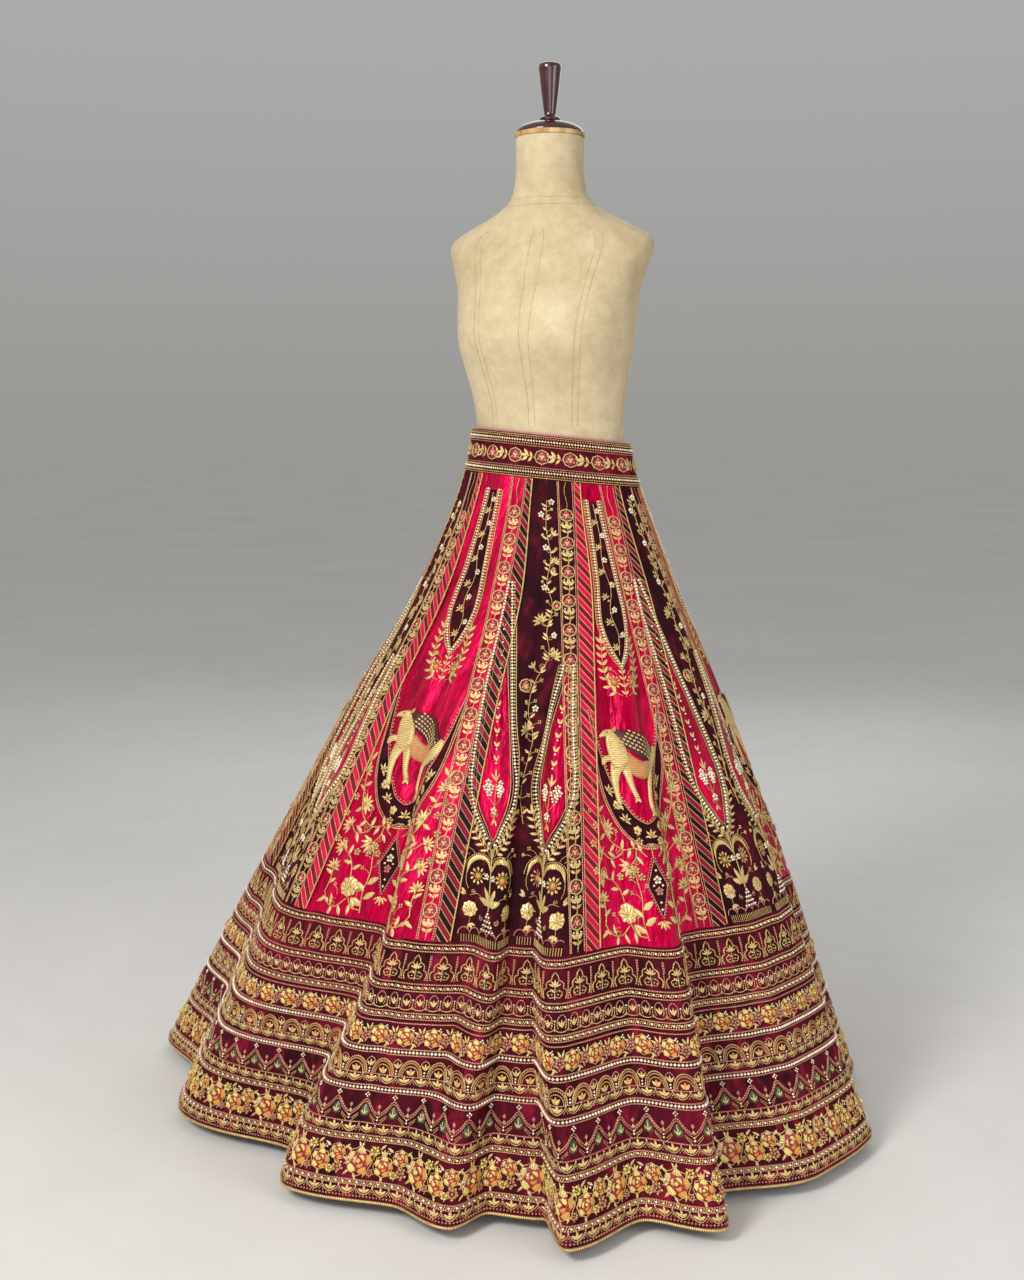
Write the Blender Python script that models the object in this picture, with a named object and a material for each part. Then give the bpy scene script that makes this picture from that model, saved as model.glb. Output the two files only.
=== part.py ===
"""A bridal lehenga skirt standing on a limbless dress form.

The skirt is twelve kalis (gores), satin and velvet by turns, joined by narrow striped bands, with a
deep velvet border in three tiers below and a waistband above.  Every cloth piece is a wall that
follows one draped surface: a round section that widens from the waist to the hem, pushed out and in
by folds that grow towards the hem.

Metres, +Z up.  The wearer's side faces -Y, turned a little towards -X.  The origin is the middle of
the base's underside, so the floor is Z = 0.
"""

import math

import bmesh
import bpy
from mathutils import Matrix, Vector

# ---- driving dimensions -------------------------------------------------------------------------

GAP = 0.0003            # left between neighbouring pieces

WAIST_TOP = 1.083       # top edge of the waistband at the middle
WAIST_SEAM = 1.012      # seam between the waistband and the kalis
BORDER_TOP = 0.354      # seam between the kalis and the border
TIER_SEAMS = (0.250, 0.166)  # seams between the border's three tiers
HEM = 0.022             # lower edge of the lowest tier
WAIST_DIP = 0.014       # how far the waistband sits lower on the +X side

PANEL_WALL = 0.0022     # satin or velvet with its backing
BAND_WALL = 0.0016      # the striped band, sewn on top of a kali's left edge
WAISTBAND_WALL = 0.0030
PIPING = 0.0042         # thickness of the corded edges

BAND_WIDTH = 0.025      # width of a striped band below the hips
BAND_AT_WAIST = 0.011   # and at the waistband, where it tapers into the seam

COLUMNS = 10            # faces across one kali
KALI_ROWS = (0.0, 0.13, 0.30, 0.50, 0.75, 1.0)  # shares of the way from the waistband to the border
WAIST_COLUMNS = 48
BORDER_LENGTHS = 4      # each tier is joined from this many lengths of velvet

FORM_TURN = -18.0       # degrees: the dress form faces a little towards -X
FOLD_TOP = 0.95         # folds start below this height
FOLD_GROWTH = 1.3       # and deepen with this power of the way down

# The kalis in order round the skirt.  `starts_at` is degrees from the front towards +X of the seam at
# the left edge; the span differs because a fold takes up more of one kali than of another.
KALIS = [
    dict(cloth="velvet", starts_at=-19.0),
    dict(cloth="satin", starts_at=11.0),
    dict(cloth="velvet", starts_at=40.0),
    dict(cloth="satin", starts_at=70.0),
    dict(cloth="velvet", starts_at=98.0),
    dict(cloth="satin", starts_at=126.0),
    dict(cloth="velvet", starts_at=154.0),
    dict(cloth="satin", starts_at=183.0),
    dict(cloth="velvet", starts_at=212.0),
    dict(cloth="satin", starts_at=240.0),
    dict(cloth="velvet", starts_at=268.0),
    dict(cloth="satin", starts_at=302.0),
]

# The skirt's mean section: round at the hem, oval at the waist, and set towards -X as it falls.
SECTIONS = [
    dict(height=1.120, shift=0.000, half_width=0.1315, half_depth=0.0985),
    dict(height=1.083, shift=0.000, half_width=0.1340, half_depth=0.1010),
    dict(height=1.012, shift=0.000, half_width=0.1480, half_depth=0.1140),
    dict(height=0.930, shift=0.000, half_width=0.1760, half_depth=0.1510),
    dict(height=0.800, shift=-0.005, half_width=0.2310, half_depth=0.2160),
    dict(height=0.648, shift=-0.015, half_width=0.3060, half_depth=0.3000),
    dict(height=0.366, shift=-0.030, half_width=0.4300, half_depth=0.4380),
    dict(height=0.150, shift=-0.044, half_width=0.5170, half_depth=0.5200),
    dict(height=0.020, shift=-0.050, half_width=0.5700, half_depth=0.5700),
    dict(height=-0.050, shift=-0.054, half_width=0.5980, half_depth=0.5980),
]

# One row for each crest or valley of the hem.  `at` is degrees from the front towards +X, `out` and
# `lean` are metres away from the mean section and sideways, and `drift` is how many degrees further
# round the same fold lies at the border's top seam.
FOLDS = [
    dict(name="left crest", at=-102, out=0.066, lean=0.000, drift=0),
    dict(name="left valley", at=-87, out=-0.024, lean=0.004, drift=4),
    dict(name="left shoulder", at=-71, out=-0.004, lean=0.000, drift=8),
    dict(name="deep valley", at=-48, out=-0.104, lean=0.016, drift=11),
    dict(name="front left crest", at=-36, out=-0.022, lean=0.000, drift=9),
    dict(name="flat of the front", at=-19, out=-0.046, lean=0.000, drift=8),
    dict(name="small crest", at=-9, out=-0.004, lean=0.000, drift=3),
    dict(name="small valley", at=-4, out=-0.052, lean=0.000, drift=0),
    dict(name="centre valley", at=3, out=-0.036, lean=0.012, drift=-3),
    dict(name="centre crest", at=8, out=0.050, lean=-0.012, drift=-3),
    dict(name="centre dip", at=18, out=-0.006, lean=0.000, drift=0),
    dict(name="right centre crest", at=26, out=0.060, lean=0.008, drift=0),
    dict(name="right centre valley", at=32, out=-0.032, lean=-0.008, drift=2),
    dict(name="right swell", at=47, out=0.028, lean=0.000, drift=2),
    dict(name="right crest", at=61, out=0.038, lean=0.004, drift=0),
    dict(name="right valley", at=74, out=-0.044, lean=-0.004, drift=0),
    dict(name="side crest", at=89, out=-0.010, lean=0.000, drift=-3),
    dict(name="side valley", at=105, out=-0.062, lean=0.004, drift=0),
    dict(name="back right crest", at=121, out=0.030, lean=-0.004, drift=3),
    dict(name="back right valley", at=134, out=-0.040, lean=0.000, drift=0),
    dict(name="back right swell", at=150, out=0.044, lean=0.004, drift=-2),
    dict(name="back valley", at=164, out=-0.050, lean=0.000, drift=0),
    dict(name="back crest", at=180, out=0.034, lean=-0.004, drift=2),
    dict(name="back left valley", at=196, out=-0.052, lean=0.006, drift=0),
    dict(name="back left crest", at=210, out=0.050, lean=-0.006, drift=-2),
    dict(name="back left dip", at=226, out=-0.036, lean=0.000, drift=2),
    dict(name="left back swell", at=238, out=0.020, lean=0.000, drift=0),
    dict(name="left back valley", at=248, out=-0.020, lean=0.004, drift=-2),
]

# The dress form's sections, hips to neck.  `ahead` moves a section towards the chest, and `square`
# is 2 for an oval and more for a squarer one.
FORM_SECTIONS = [
    dict(height=0.808, half_width=0.1480, half_depth=0.0980, ahead=0.000, square=2.1),
    dict(height=0.822, half_width=0.1600, half_depth=0.1100, ahead=0.000, square=2.1),
    dict(height=0.870, half_width=0.1680, half_depth=0.1190, ahead=0.000, square=2.1),
    dict(height=0.930, half_width=0.1640, half_depth=0.1160, ahead=0.000, square=2.1),
    dict(height=1.012, half_width=0.1440, half_depth=0.1050, ahead=0.001, square=2.0),
    dict(height=1.060, half_width=0.1320, half_depth=0.0970, ahead=0.001, square=2.0),
    dict(height=1.100, half_width=0.1270, half_depth=0.0940, ahead=0.002, square=2.0),
    dict(height=1.150, half_width=0.1320, half_depth=0.0990, ahead=0.006, square=2.0),
    dict(height=1.200, half_width=0.1420, half_depth=0.1110, ahead=0.014, square=2.1),
    dict(height=1.245, half_width=0.1500, half_depth=0.1210, ahead=0.020, square=2.2),
    dict(height=1.290, half_width=0.1530, half_depth=0.1150, ahead=0.015, square=2.3),
    dict(height=1.335, half_width=0.1580, half_depth=0.1010, ahead=0.006, square=2.4),
    dict(height=1.375, half_width=0.1700, half_depth=0.0900, ahead=-0.001, square=2.4),
    dict(height=1.402, half_width=0.1790, half_depth=0.0800, ahead=-0.006, square=2.3),
    dict(height=1.420, half_width=0.1740, half_depth=0.0720, ahead=-0.008, square=2.2),
    dict(height=1.436, half_width=0.1500, half_depth=0.0670, ahead=-0.008, square=2.1),
    dict(height=1.452, half_width=0.1180, half_depth=0.0640, ahead=-0.007, square=2.0),
    dict(height=1.468, half_width=0.0890, half_depth=0.0620, ahead=-0.005, square=2.0),
    dict(height=1.484, half_width=0.0700, half_depth=0.0600, ahead=-0.002, square=2.0),
    dict(height=1.505, half_width=0.0615, half_depth=0.0580, ahead=0.000, square=2.0),
    dict(height=1.540, half_width=0.0580, half_depth=0.0560, ahead=0.000, square=2.0),
    dict(height=1.590, half_width=0.0585, half_depth=0.0570, ahead=0.000, square=2.0),
]
FORM_SIDES = 40

BASE_RADIUS = 0.185
BASE_HEIGHT = 0.024
POLE_RADIUS = 0.016
RIM_RADIUS = 0.0600
CAP_TOP = 1.620


# ---- small helpers ------------------------------------------------------------------------------

def clear_scene():
    """Remove whatever the file opened with."""
    for thing in list(bpy.data.objects):
        bpy.data.objects.remove(thing, do_unlink=True)


def finish(name, colour, roughness, metallic=0.0):
    """A plain material with one colour."""
    material = bpy.data.materials.new(name)
    material.use_nodes = True
    shader = material.node_tree.nodes["Principled BSDF"]
    shader.inputs["Base Color"].default_value = (*colour, 1.0)
    shader.inputs["Roughness"].default_value = roughness
    shader.inputs["Metallic"].default_value = metallic
    return material


def blend(start, end, share):
    """The value a share of the way from start to end."""
    return start + (end - start) * share


def ease(share):
    """0 to 1 with level ends."""
    share = min(1.0, max(0.0, share))
    return share * share * (3.0 - 2.0 * share)


def smooth_table(rows, key, column, value):
    """A column of a table read smoothly at a value of its key column, which falls or rises."""
    keys = [row[key] for row in rows]
    rising = keys[-1] > keys[0]
    index = 0
    while index < len(rows) - 2 and ((value > keys[index + 1]) == rising and value != keys[index + 1]):
        index += 1
    before, after = max(index - 1, 0), min(index + 2, len(rows) - 1)
    a, b = rows[index][column], rows[index + 1][column]
    span = keys[index + 1] - keys[index]
    slope_a = (b - rows[before][column]) / (keys[index + 1] - keys[before]) * span
    slope_b = (rows[after][column] - a) / (keys[after] - keys[index]) * span
    s = min(1.0, max(0.0, (value - keys[index]) / span))
    return (
        a * (2 * s**3 - 3 * s**2 + 1)
        + slope_a * (s**3 - 2 * s**2 + s)
        + b * (3 * s**2 - 2 * s**3)
        + slope_b * (s**3 - s**2)
    )


def add_solid(name, points, faces, material):
    """One closed, smooth-shaded object from points and faces, with its faces turned outwards."""
    mesh = bpy.data.meshes.new(name)
    mesh.from_pydata([tuple(p) for p in points], [], faces)
    work = bmesh.new()
    work.from_mesh(mesh)
    bmesh.ops.triangulate(work, faces=work.faces[:])
    bmesh.ops.recalc_face_normals(work, faces=work.faces[:])
    work.to_mesh(mesh)
    work.free()
    mesh.shade_smooth()
    mesh.set_sharp_from_angle(angle=math.radians(40.0))
    mesh.materials.append(material)
    solid = bpy.data.objects.new(name, mesh)
    bpy.context.scene.collection.objects.link(solid)
    return solid


# ---- the draped surface -------------------------------------------------------------------------

def fold_offset(angle, height):
    """How far the folds push the cloth out and sideways at an angle in degrees and a height."""
    if height >= FOLD_TOP:
        return 0.0, 0.0
    depth = ((FOLD_TOP - height) / (FOLD_TOP - HEM)) ** FOLD_GROWTH
    rise = ease((height - HEM) / (BORDER_TOP - HEM))
    knots = [fold["at"] + fold["drift"] * rise for fold in FOLDS]
    knots.append(knots[0] + 360.0)
    angle = (angle - knots[0]) % 360.0 + knots[0]
    index = max(i for i in range(len(FOLDS)) if knots[i] <= angle + 1e-9)
    share = ease((angle - knots[index]) / (knots[index + 1] - knots[index]))
    here, beyond = FOLDS[index], FOLDS[(index + 1) % len(FOLDS)]
    out = blend(here["out"], beyond["out"], share)
    lean = blend(here["lean"], beyond["lean"], share)
    return out * depth, lean * depth


def cloth_point(angle, height):
    """A point of the cloth's inner face, at degrees from the front towards +X and a height."""
    turned = math.radians(angle - FORM_TURN)
    width = smooth_table(SECTIONS, "height", "half_width", height)
    depth = smooth_table(SECTIONS, "height", "half_depth", height)
    oval = Matrix.Rotation(math.radians(FORM_TURN), 3, "Z") @ Vector(
        (width * math.sin(turned), -depth * math.cos(turned), 0.0)
    )
    out, lean = fold_offset(angle, height)
    around = math.radians(angle)
    away = Vector((math.sin(around), -math.cos(around), 0.0))
    along = Vector((math.cos(around), math.sin(around), 0.0))
    middle = Vector((smooth_table(SECTIONS, "height", "shift", height), 0.0, height))
    return middle + oval + away * out + along * lean


def moved_out(angle, height, distance):
    """A point of the cloth moved along its outward normal."""
    small_turn, small_rise = 0.05, 0.0005
    across = cloth_point(angle + small_turn, height) - cloth_point(angle - small_turn, height)
    upward = cloth_point(angle, height + small_rise) - cloth_point(angle, height - small_rise)
    normal = across.cross(upward).normalized()
    return cloth_point(angle, height) + normal * distance


def metres_per_degree(angle, height):
    """The length of cloth in one degree."""
    return (cloth_point(angle + 0.25, height) - cloth_point(angle - 0.25, height)).length * 2.0


def waist_height(angle, height):
    """A height near the waist, lowered where the waistband dips."""
    return height - WAIST_DIP * math.sin(math.radians(angle))


def kali_height(angle, share):
    """The height at a share of the way down a kali."""
    return blend(waist_height(angle, WAIST_SEAM) - GAP, BORDER_TOP + GAP, share)


def seam_angle(number):
    """The angle of the seam at the left edge of a kali, counted on past a full turn."""
    return KALIS[number % len(KALIS)]["starts_at"] + 360.0 * (number // len(KALIS))


def even_columns(start, end, count, height):
    """Angles that split the cloth between two angles into equal lengths at a height."""
    steps = count * 12
    marks = [blend(start, end, i / steps) for i in range(steps + 1)]
    lengths = [0.0]
    for left, right in zip(marks, marks[1:]):
        lengths.append(lengths[-1] + (cloth_point(right, height) - cloth_point(left, height)).length)
    angles = []
    for i in range(count + 1):
        target = lengths[-1] * i / count
        place = min(range(len(marks)), key=lambda k: abs(lengths[k] - target))
        angles.append(marks[place])
    return angles


def band_width(share):
    """The width of a striped band at a share of the way down."""
    return blend(BAND_AT_WAIST, BAND_WIDTH, ease(share / 0.3))


# ---- walls --------------------------------------------------------------------------------------

def wall(name, columns, rows, inside, outside, material, ring=False):
    """A closed wall over a grid of (angle, height) places.

    `columns` is a list of functions, each giving the angle at a row's share; `rows` is a list of
    (share, height function) pairs.  A ring joins its last column to its first.
    """
    points, faces = [], []
    for distance in (outside, inside):
        for share, height_of in rows:
            for column in columns:
                angle = column(share)
                points.append(moved_out(angle, height_of(angle), distance))
    across, down = len(columns), len(rows)
    layer = across * down

    def at(side, row, column):
        return side * layer + row * across + column % across

    last = across if ring else across - 1
    for row in range(down - 1):
        for column in range(last):
            for side in (0, 1):
                corners = [
                    at(side, row, column),
                    at(side, row + 1, column),
                    at(side, row + 1, column + 1),
                    at(side, row, column + 1),
                ]
                faces.append(corners if side == 0 else corners[::-1])
    for column in range(last):
        for row in (0, down - 1):
            faces.append([at(0, row, column), at(0, row, column + 1),
                          at(1, row, column + 1), at(1, row, column)])
    if not ring:
        for row in range(down - 1):
            for column in (0, across - 1):
                faces.append([at(0, row, column), at(0, row + 1, column),
                              at(1, row + 1, column), at(1, row, column)])
    return add_solid(name, points, faces, material)


def fixed(angle):
    """A column that keeps one angle."""
    return lambda share: angle


def add_kali(number, material):
    """One kali: its left edge runs under a striped band, and the rest is split evenly."""
    start, end = seam_angle(number), seam_angle(number + 1)

    def edge(angle, side):
        return lambda share: angle + side * GAP / 2 / metres_per_degree(angle, kali_height(angle, share))

    def under_band(share):
        return band_edge(number, share)

    band_end = band_edge(number, 1.0)
    inner = even_columns(band_end, end, COLUMNS - 1, HEM)
    columns = [edge(start, 1), under_band]
    for angle in inner[1:-1]:
        share_across = (angle - band_end) / (end - band_end)
        columns.append(lambda share, s=share_across: blend(band_edge(number, share), end, s))
    columns.append(edge(end, -1))
    rows = [(share, lambda angle, s=share: kali_height(angle, s)) for share in KALI_ROWS]
    cloth = KALIS[number]["cloth"]
    return wall(f"kali_{number + 1:02d}_{cloth}", columns, rows, 0.0, PANEL_WALL, material)


def band_edge(number, share):
    """The angle of a striped band's right edge."""
    start = seam_angle(number)
    height = kali_height(start, share)
    return start + band_width(share) / metres_per_degree(start + 1.5, height)


def add_band(number, material):
    """The striped band sewn on a kali's left edge, made from the kali's own points moved out."""
    start = seam_angle(number)

    def left(share):
        return start + GAP / 2 / metres_per_degree(start, kali_height(start, share))

    def right(share):
        return band_edge(number, share)

    rows = [(share, lambda angle, s=share: kali_height(angle, s)) for share in KALI_ROWS]
    base = PANEL_WALL + GAP
    return wall(f"striped_band_{number + 1:02d}", [left, right], rows, base, base + BAND_WALL, material)


def border_angles(first, count):
    """The angles of the border's columns below some kalis, which continue those of the kalis."""
    angles = []
    for number in range(first, first + count):
        start, end = seam_angle(number), seam_angle(number + 1)
        band_end = start + band_edge(number % len(KALIS), 1.0) - seam_angle(number % len(KALIS))
        angles += [start, band_end] + even_columns(band_end, end, COLUMNS - 1, HEM)[1:-1]
    return angles


def add_tier(name, top, bottom, material):
    """One tier of the border, in lengths that meet below a kali's seam."""
    rows = [(0.0, lambda angle, z=z: z) for z in (top, blend(top, bottom, 0.5), bottom)]
    per_length = len(KALIS) // BORDER_LENGTHS
    for length in range(BORDER_LENGTHS):
        first = length * per_length
        angles = border_angles(first, per_length)
        nip = GAP / 2 / metres_per_degree(angles[0], bottom)
        angles[0] += nip
        angles.append(seam_angle(first + per_length) - nip)
        columns = [fixed(angle) for angle in angles]
        wall(f"{name}_{length + 1}", columns, rows, 0.0, PANEL_WALL, material)


def add_hem_piping(material):
    """The corded edge just below the lowest tier."""
    rows = [(0.0, lambda angle, z=z: z) for z in (HEM - GAP, HEM - GAP - PIPING)]
    inside = (PANEL_WALL - PIPING) / 2
    columns = [fixed(angle) for angle in border_angles(0, len(KALIS))]
    return wall("hem_piping", columns, rows, inside, inside + PIPING, material, ring=True)


def add_waist_ring(name, top, bottom, inside, outside, material):
    """A ring round the waist that dips to +X."""
    columns = [fixed(360.0 / WAIST_COLUMNS * i) for i in range(WAIST_COLUMNS)]
    rows = [(0.0, lambda angle, z=z: waist_height(angle, z)) for z in (top, bottom)]
    return wall(name, columns, rows, inside, outside, material, ring=True)


# ---- the dress form -----------------------------------------------------------------------------

def oval_section(row, sides):
    """The points round one section of the dress form, turned with it."""
    power = 2.0 / row["square"]
    points = []
    for i in range(sides):
        around = 2.0 * math.pi * i / sides
        sine, cosine = math.sin(around), math.cos(around)
        x = row["half_width"] * math.copysign(abs(sine) ** power, sine)
        y = -row["half_depth"] * math.copysign(abs(cosine) ** power, cosine) - row["ahead"]
        points.append(Matrix.Rotation(math.radians(FORM_TURN), 3, "Z") @ Vector((x, y, row["height"])))
    return points


def add_torso(material):
    """The padded torso and neck, lofted through its sections and closed top and bottom."""
    points = []
    for row in FORM_SECTIONS:
        points += oval_section(row, FORM_SIDES)
    faces = [list(range(FORM_SIDES))]
    for level in range(len(FORM_SECTIONS) - 1):
        for i in range(FORM_SIDES):
            j = (i + 1) % FORM_SIDES
            a, b = level * FORM_SIDES, (level + 1) * FORM_SIDES
            faces.append([a + i, a + j, b + j, b + i])
    top = (len(FORM_SECTIONS) - 1) * FORM_SIDES
    faces.append([top + i for i in range(FORM_SIDES)])
    return add_solid("form_torso", points, faces, material)


def add_turned(name, profile, material, sides=32):
    """A solid turned round the Z axis from (radius, height) pairs, bottom to top."""
    points, faces = [], []
    for radius, height in profile:
        for i in range(sides):
            around = 2.0 * math.pi * i / sides
            points.append(Vector((radius * math.sin(around), -radius * math.cos(around), height)))
    for level in range(len(profile) - 1):
        for i in range(sides):
            j = (i + 1) % sides
            a, b = level * sides, (level + 1) * sides
            faces.append([a + i, a + j, b + j, b + i])
    top = (len(profile) - 1) * sides
    faces += [list(range(sides)), [top + i for i in range(sides)]]
    return add_solid(name, points, faces, material)


def dome(radius, bottom, top, steps=6):
    """A low dome's profile, ending in a small flat on top."""
    profile = []
    for i in range(steps + 1):
        around = math.radians(78.0) * i / steps
        profile.append((radius * math.cos(around), bottom + (top - bottom) * math.sin(around)))
    return profile


def add_stand(wood, metal):
    """The plain round base, its collar, the pole and the plate that carries the torso."""
    torso_bottom = FORM_SECTIONS[0]["height"]
    add_turned("stand_base", [
        (BASE_RADIUS - 0.003, 0.0),
        (BASE_RADIUS, 0.003),
        (BASE_RADIUS, BASE_HEIGHT - 0.006),
        (BASE_RADIUS - 0.008, BASE_HEIGHT),
    ], wood, sides=48)
    add_turned("stand_collar", [
        (0.038, BASE_HEIGHT + GAP),
        (0.038, BASE_HEIGHT + 0.010),
        (0.024, BASE_HEIGHT + 0.022),
        (0.022, BASE_HEIGHT + 0.050),
    ], metal)
    add_turned("stand_pole", [
        (POLE_RADIUS, BASE_HEIGHT + 0.050 + GAP),
        (POLE_RADIUS, torso_bottom - 0.012 - GAP),
    ], metal)
    add_turned("stand_plate", [
        (0.060, torso_bottom - 0.012),
        (0.060, torso_bottom - GAP),
    ], metal)


def add_neck_cap(rim_wood, wood):
    """The neck's worn wooden rim, its domed cap and the tapered finial."""
    neck_top = FORM_SECTIONS[-1]["height"]
    rim_top = neck_top + 0.009
    add_turned("neck_rim", [
        (RIM_RADIUS - 0.003, neck_top + GAP),
        (RIM_RADIUS, neck_top + 0.003),
        (RIM_RADIUS, rim_top - 0.003),
        (RIM_RADIUS - 0.003, rim_top),
    ], rim_wood)
    add_turned("neck_cap", dome(RIM_RADIUS - 0.003, rim_top + GAP, CAP_TOP), wood)
    finial = [
        (0.0165, CAP_TOP - 0.0005),
        (0.0180, CAP_TOP + 0.003),
        (0.0150, CAP_TOP + 0.006),
        (0.0105, CAP_TOP + 0.009),
        (0.0115, CAP_TOP + 0.020),
        (0.0150, CAP_TOP + 0.050),
        (0.0185, CAP_TOP + 0.082),
        (0.0195, CAP_TOP + 0.090),
        (0.0180, CAP_TOP + 0.096),
        (0.0120, CAP_TOP + 0.099),
    ]
    lifted = [(radius, height + GAP) for radius, height in finial]
    add_turned("finial", lifted, wood)


# ---- build --------------------------------------------------------------------------------------

def main():
    clear_scene()
    satin = finish("pink_satin", (0.72, 0.01, 0.10), 0.30)
    velvet = finish("dark_velvet", (0.045, 0.006, 0.016), 0.85)
    stripes = finish("striped_band", (0.30, 0.02, 0.06), 0.60)
    border = finish("maroon_velvet", (0.12, 0.008, 0.03), 0.85)
    rose = finish("rose_piping", (0.45, 0.20, 0.24), 0.45)
    gold = finish("gold_cord", (0.56, 0.38, 0.16), 0.40, 0.7)
    calico = finish("cream_cloth", (0.67, 0.55, 0.34), 0.85)
    wood = finish("mahogany", (0.045, 0.010, 0.012), 0.20)
    rim_wood = finish("worn_wood", (0.42, 0.24, 0.09), 0.45)
    metal = finish("stand_metal", (0.05, 0.045, 0.04), 0.45, 0.8)

    add_stand(wood, metal)
    add_torso(calico)
    add_neck_cap(rim_wood, wood)

    add_waist_ring("waistband", WAIST_TOP, WAIST_SEAM, 0.0, WAISTBAND_WALL, border)
    add_waist_ring("waist_piping", WAIST_TOP + GAP + PIPING, WAIST_TOP + GAP, -0.0004,
                   PIPING - 0.0004, rose)
    for number, kali in enumerate(KALIS):
        add_kali(number, satin if kali["cloth"] == "satin" else velvet)
        add_band(number, stripes)
    tops = (BORDER_TOP, TIER_SEAMS[0] - GAP, TIER_SEAMS[1] - GAP)
    bottoms = (TIER_SEAMS[0], TIER_SEAMS[1], HEM)
    for name, top, bottom in zip(("upper", "middle", "lower"), tops, bottoms):
        add_tier(f"border_{name}", top, bottom, border)
    add_hem_piping(gold)


main()
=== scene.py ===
"""The looks of a bridal lehenga skirt on a limbless dress form.

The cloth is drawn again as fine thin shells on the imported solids' form, and the embroidery is laid on
it as raised threads, filled stitches and beads.  A motif is drawn flat, in metres, and the maps below
carry it onto the draped cloth.
"""

import logging
import math
from dataclasses import dataclass, field
from enum import Enum
from typing import Callable, Iterable, Optional, Sequence

import bpy
import numpy as np
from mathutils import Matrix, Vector

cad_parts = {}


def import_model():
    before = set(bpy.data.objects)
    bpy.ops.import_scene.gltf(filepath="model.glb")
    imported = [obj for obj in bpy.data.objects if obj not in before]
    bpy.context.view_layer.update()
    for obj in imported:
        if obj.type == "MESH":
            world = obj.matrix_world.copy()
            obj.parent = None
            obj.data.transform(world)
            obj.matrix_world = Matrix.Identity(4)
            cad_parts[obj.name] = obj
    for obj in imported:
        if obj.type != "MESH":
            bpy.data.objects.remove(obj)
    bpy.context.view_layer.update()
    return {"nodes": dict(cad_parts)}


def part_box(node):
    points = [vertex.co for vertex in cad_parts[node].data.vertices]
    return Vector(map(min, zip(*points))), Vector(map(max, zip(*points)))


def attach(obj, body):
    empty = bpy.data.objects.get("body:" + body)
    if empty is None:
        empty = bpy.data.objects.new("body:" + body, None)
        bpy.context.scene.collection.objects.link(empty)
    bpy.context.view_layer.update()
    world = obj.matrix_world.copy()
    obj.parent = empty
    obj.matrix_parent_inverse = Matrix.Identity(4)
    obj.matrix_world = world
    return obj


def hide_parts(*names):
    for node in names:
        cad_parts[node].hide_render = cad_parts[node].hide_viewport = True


Array = np.ndarray
Piece, Mesh = bpy.types.Object, bpy.types.Mesh
Socket, Node, Tree = bpy.types.NodeSocket, bpy.types.Node, bpy.types.NodeTree
LOG = logging.getLogger("lehenga")
ROOT = "root"
FORM_TURN = -18.0
TABLE_STEP_DEGREES = 0.25
TABLE_STEP_HEIGHT = 0.004
ARC_STEPS = 2881
MEASURE_LIFT = 0.002
EPSILON = 1e-9


# ---- named options ------------------------------------------------------------------------------

class Cloth(Enum):
    """The two cloths that the kalis are cut from."""

    SATIN = "satin"
    VELVET = "velvet"


class Edge(Enum):
    """Where a kali's flat coordinates are measured from."""

    LEFT = 0
    CENTRE = 1
    RIGHT = 2


class Yarn(Enum):
    """What a stitch, stone or bead is made of."""

    GOLD = "gold"
    IVORY = "ivory"
    ROSE_GOLD = "rose_gold"
    PEARL = "pearl"
    YELLOW = "yellow"
    LEMON = "lemon"
    CRIMSON = "crimson"
    GREEN = "green"
    CREAM = "cream"
    TAN = "tan"
    BROWN = "brown"
    PINK = "pink"
    DARK = "dark"


GOLD, IVORY, ROSE_GOLD, PEARL, YELLOW, LEMON, CRIMSON, GREEN, CREAM, TAN, BROWN, PINK, DARK = Yarn


# ---- the draped cloth ---------------------------------------------------------------------------

@dataclass(frozen=True)
class Section:
    """One mean section of the skirt."""

    height: float
    shift: float
    half_width: float
    half_depth: float


@dataclass(frozen=True)
class Fold:
    """One crest or valley of the hem, in degrees from the front and metres."""

    name: str
    at: float
    out: float
    lean: float
    drift: float


@dataclass(frozen=True)
class Crease:
    """A soft trough or ridge: where it runs, how wide and how deep."""

    at: float
    top: float
    bottom: float
    width: float
    depth: float
    drift: float = 0.0


SECTIONS = (
    Section(1.12, 0.0, 0.1315, 0.0985),
    Section(1.083, 0.0, 0.134, 0.101),
    Section(1.012, 0.0, 0.148, 0.114),
    Section(0.93, 0.0, 0.176, 0.151),
    Section(0.8, -0.005, 0.231, 0.216),
    Section(0.648, -0.015, 0.306, 0.3),
    Section(0.366, -0.03, 0.43, 0.438),
    Section(0.15, -0.044, 0.517, 0.52),
    Section(0.02, -0.05, 0.57, 0.57),
    Section(-0.05, -0.054, 0.598, 0.598),
)

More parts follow.
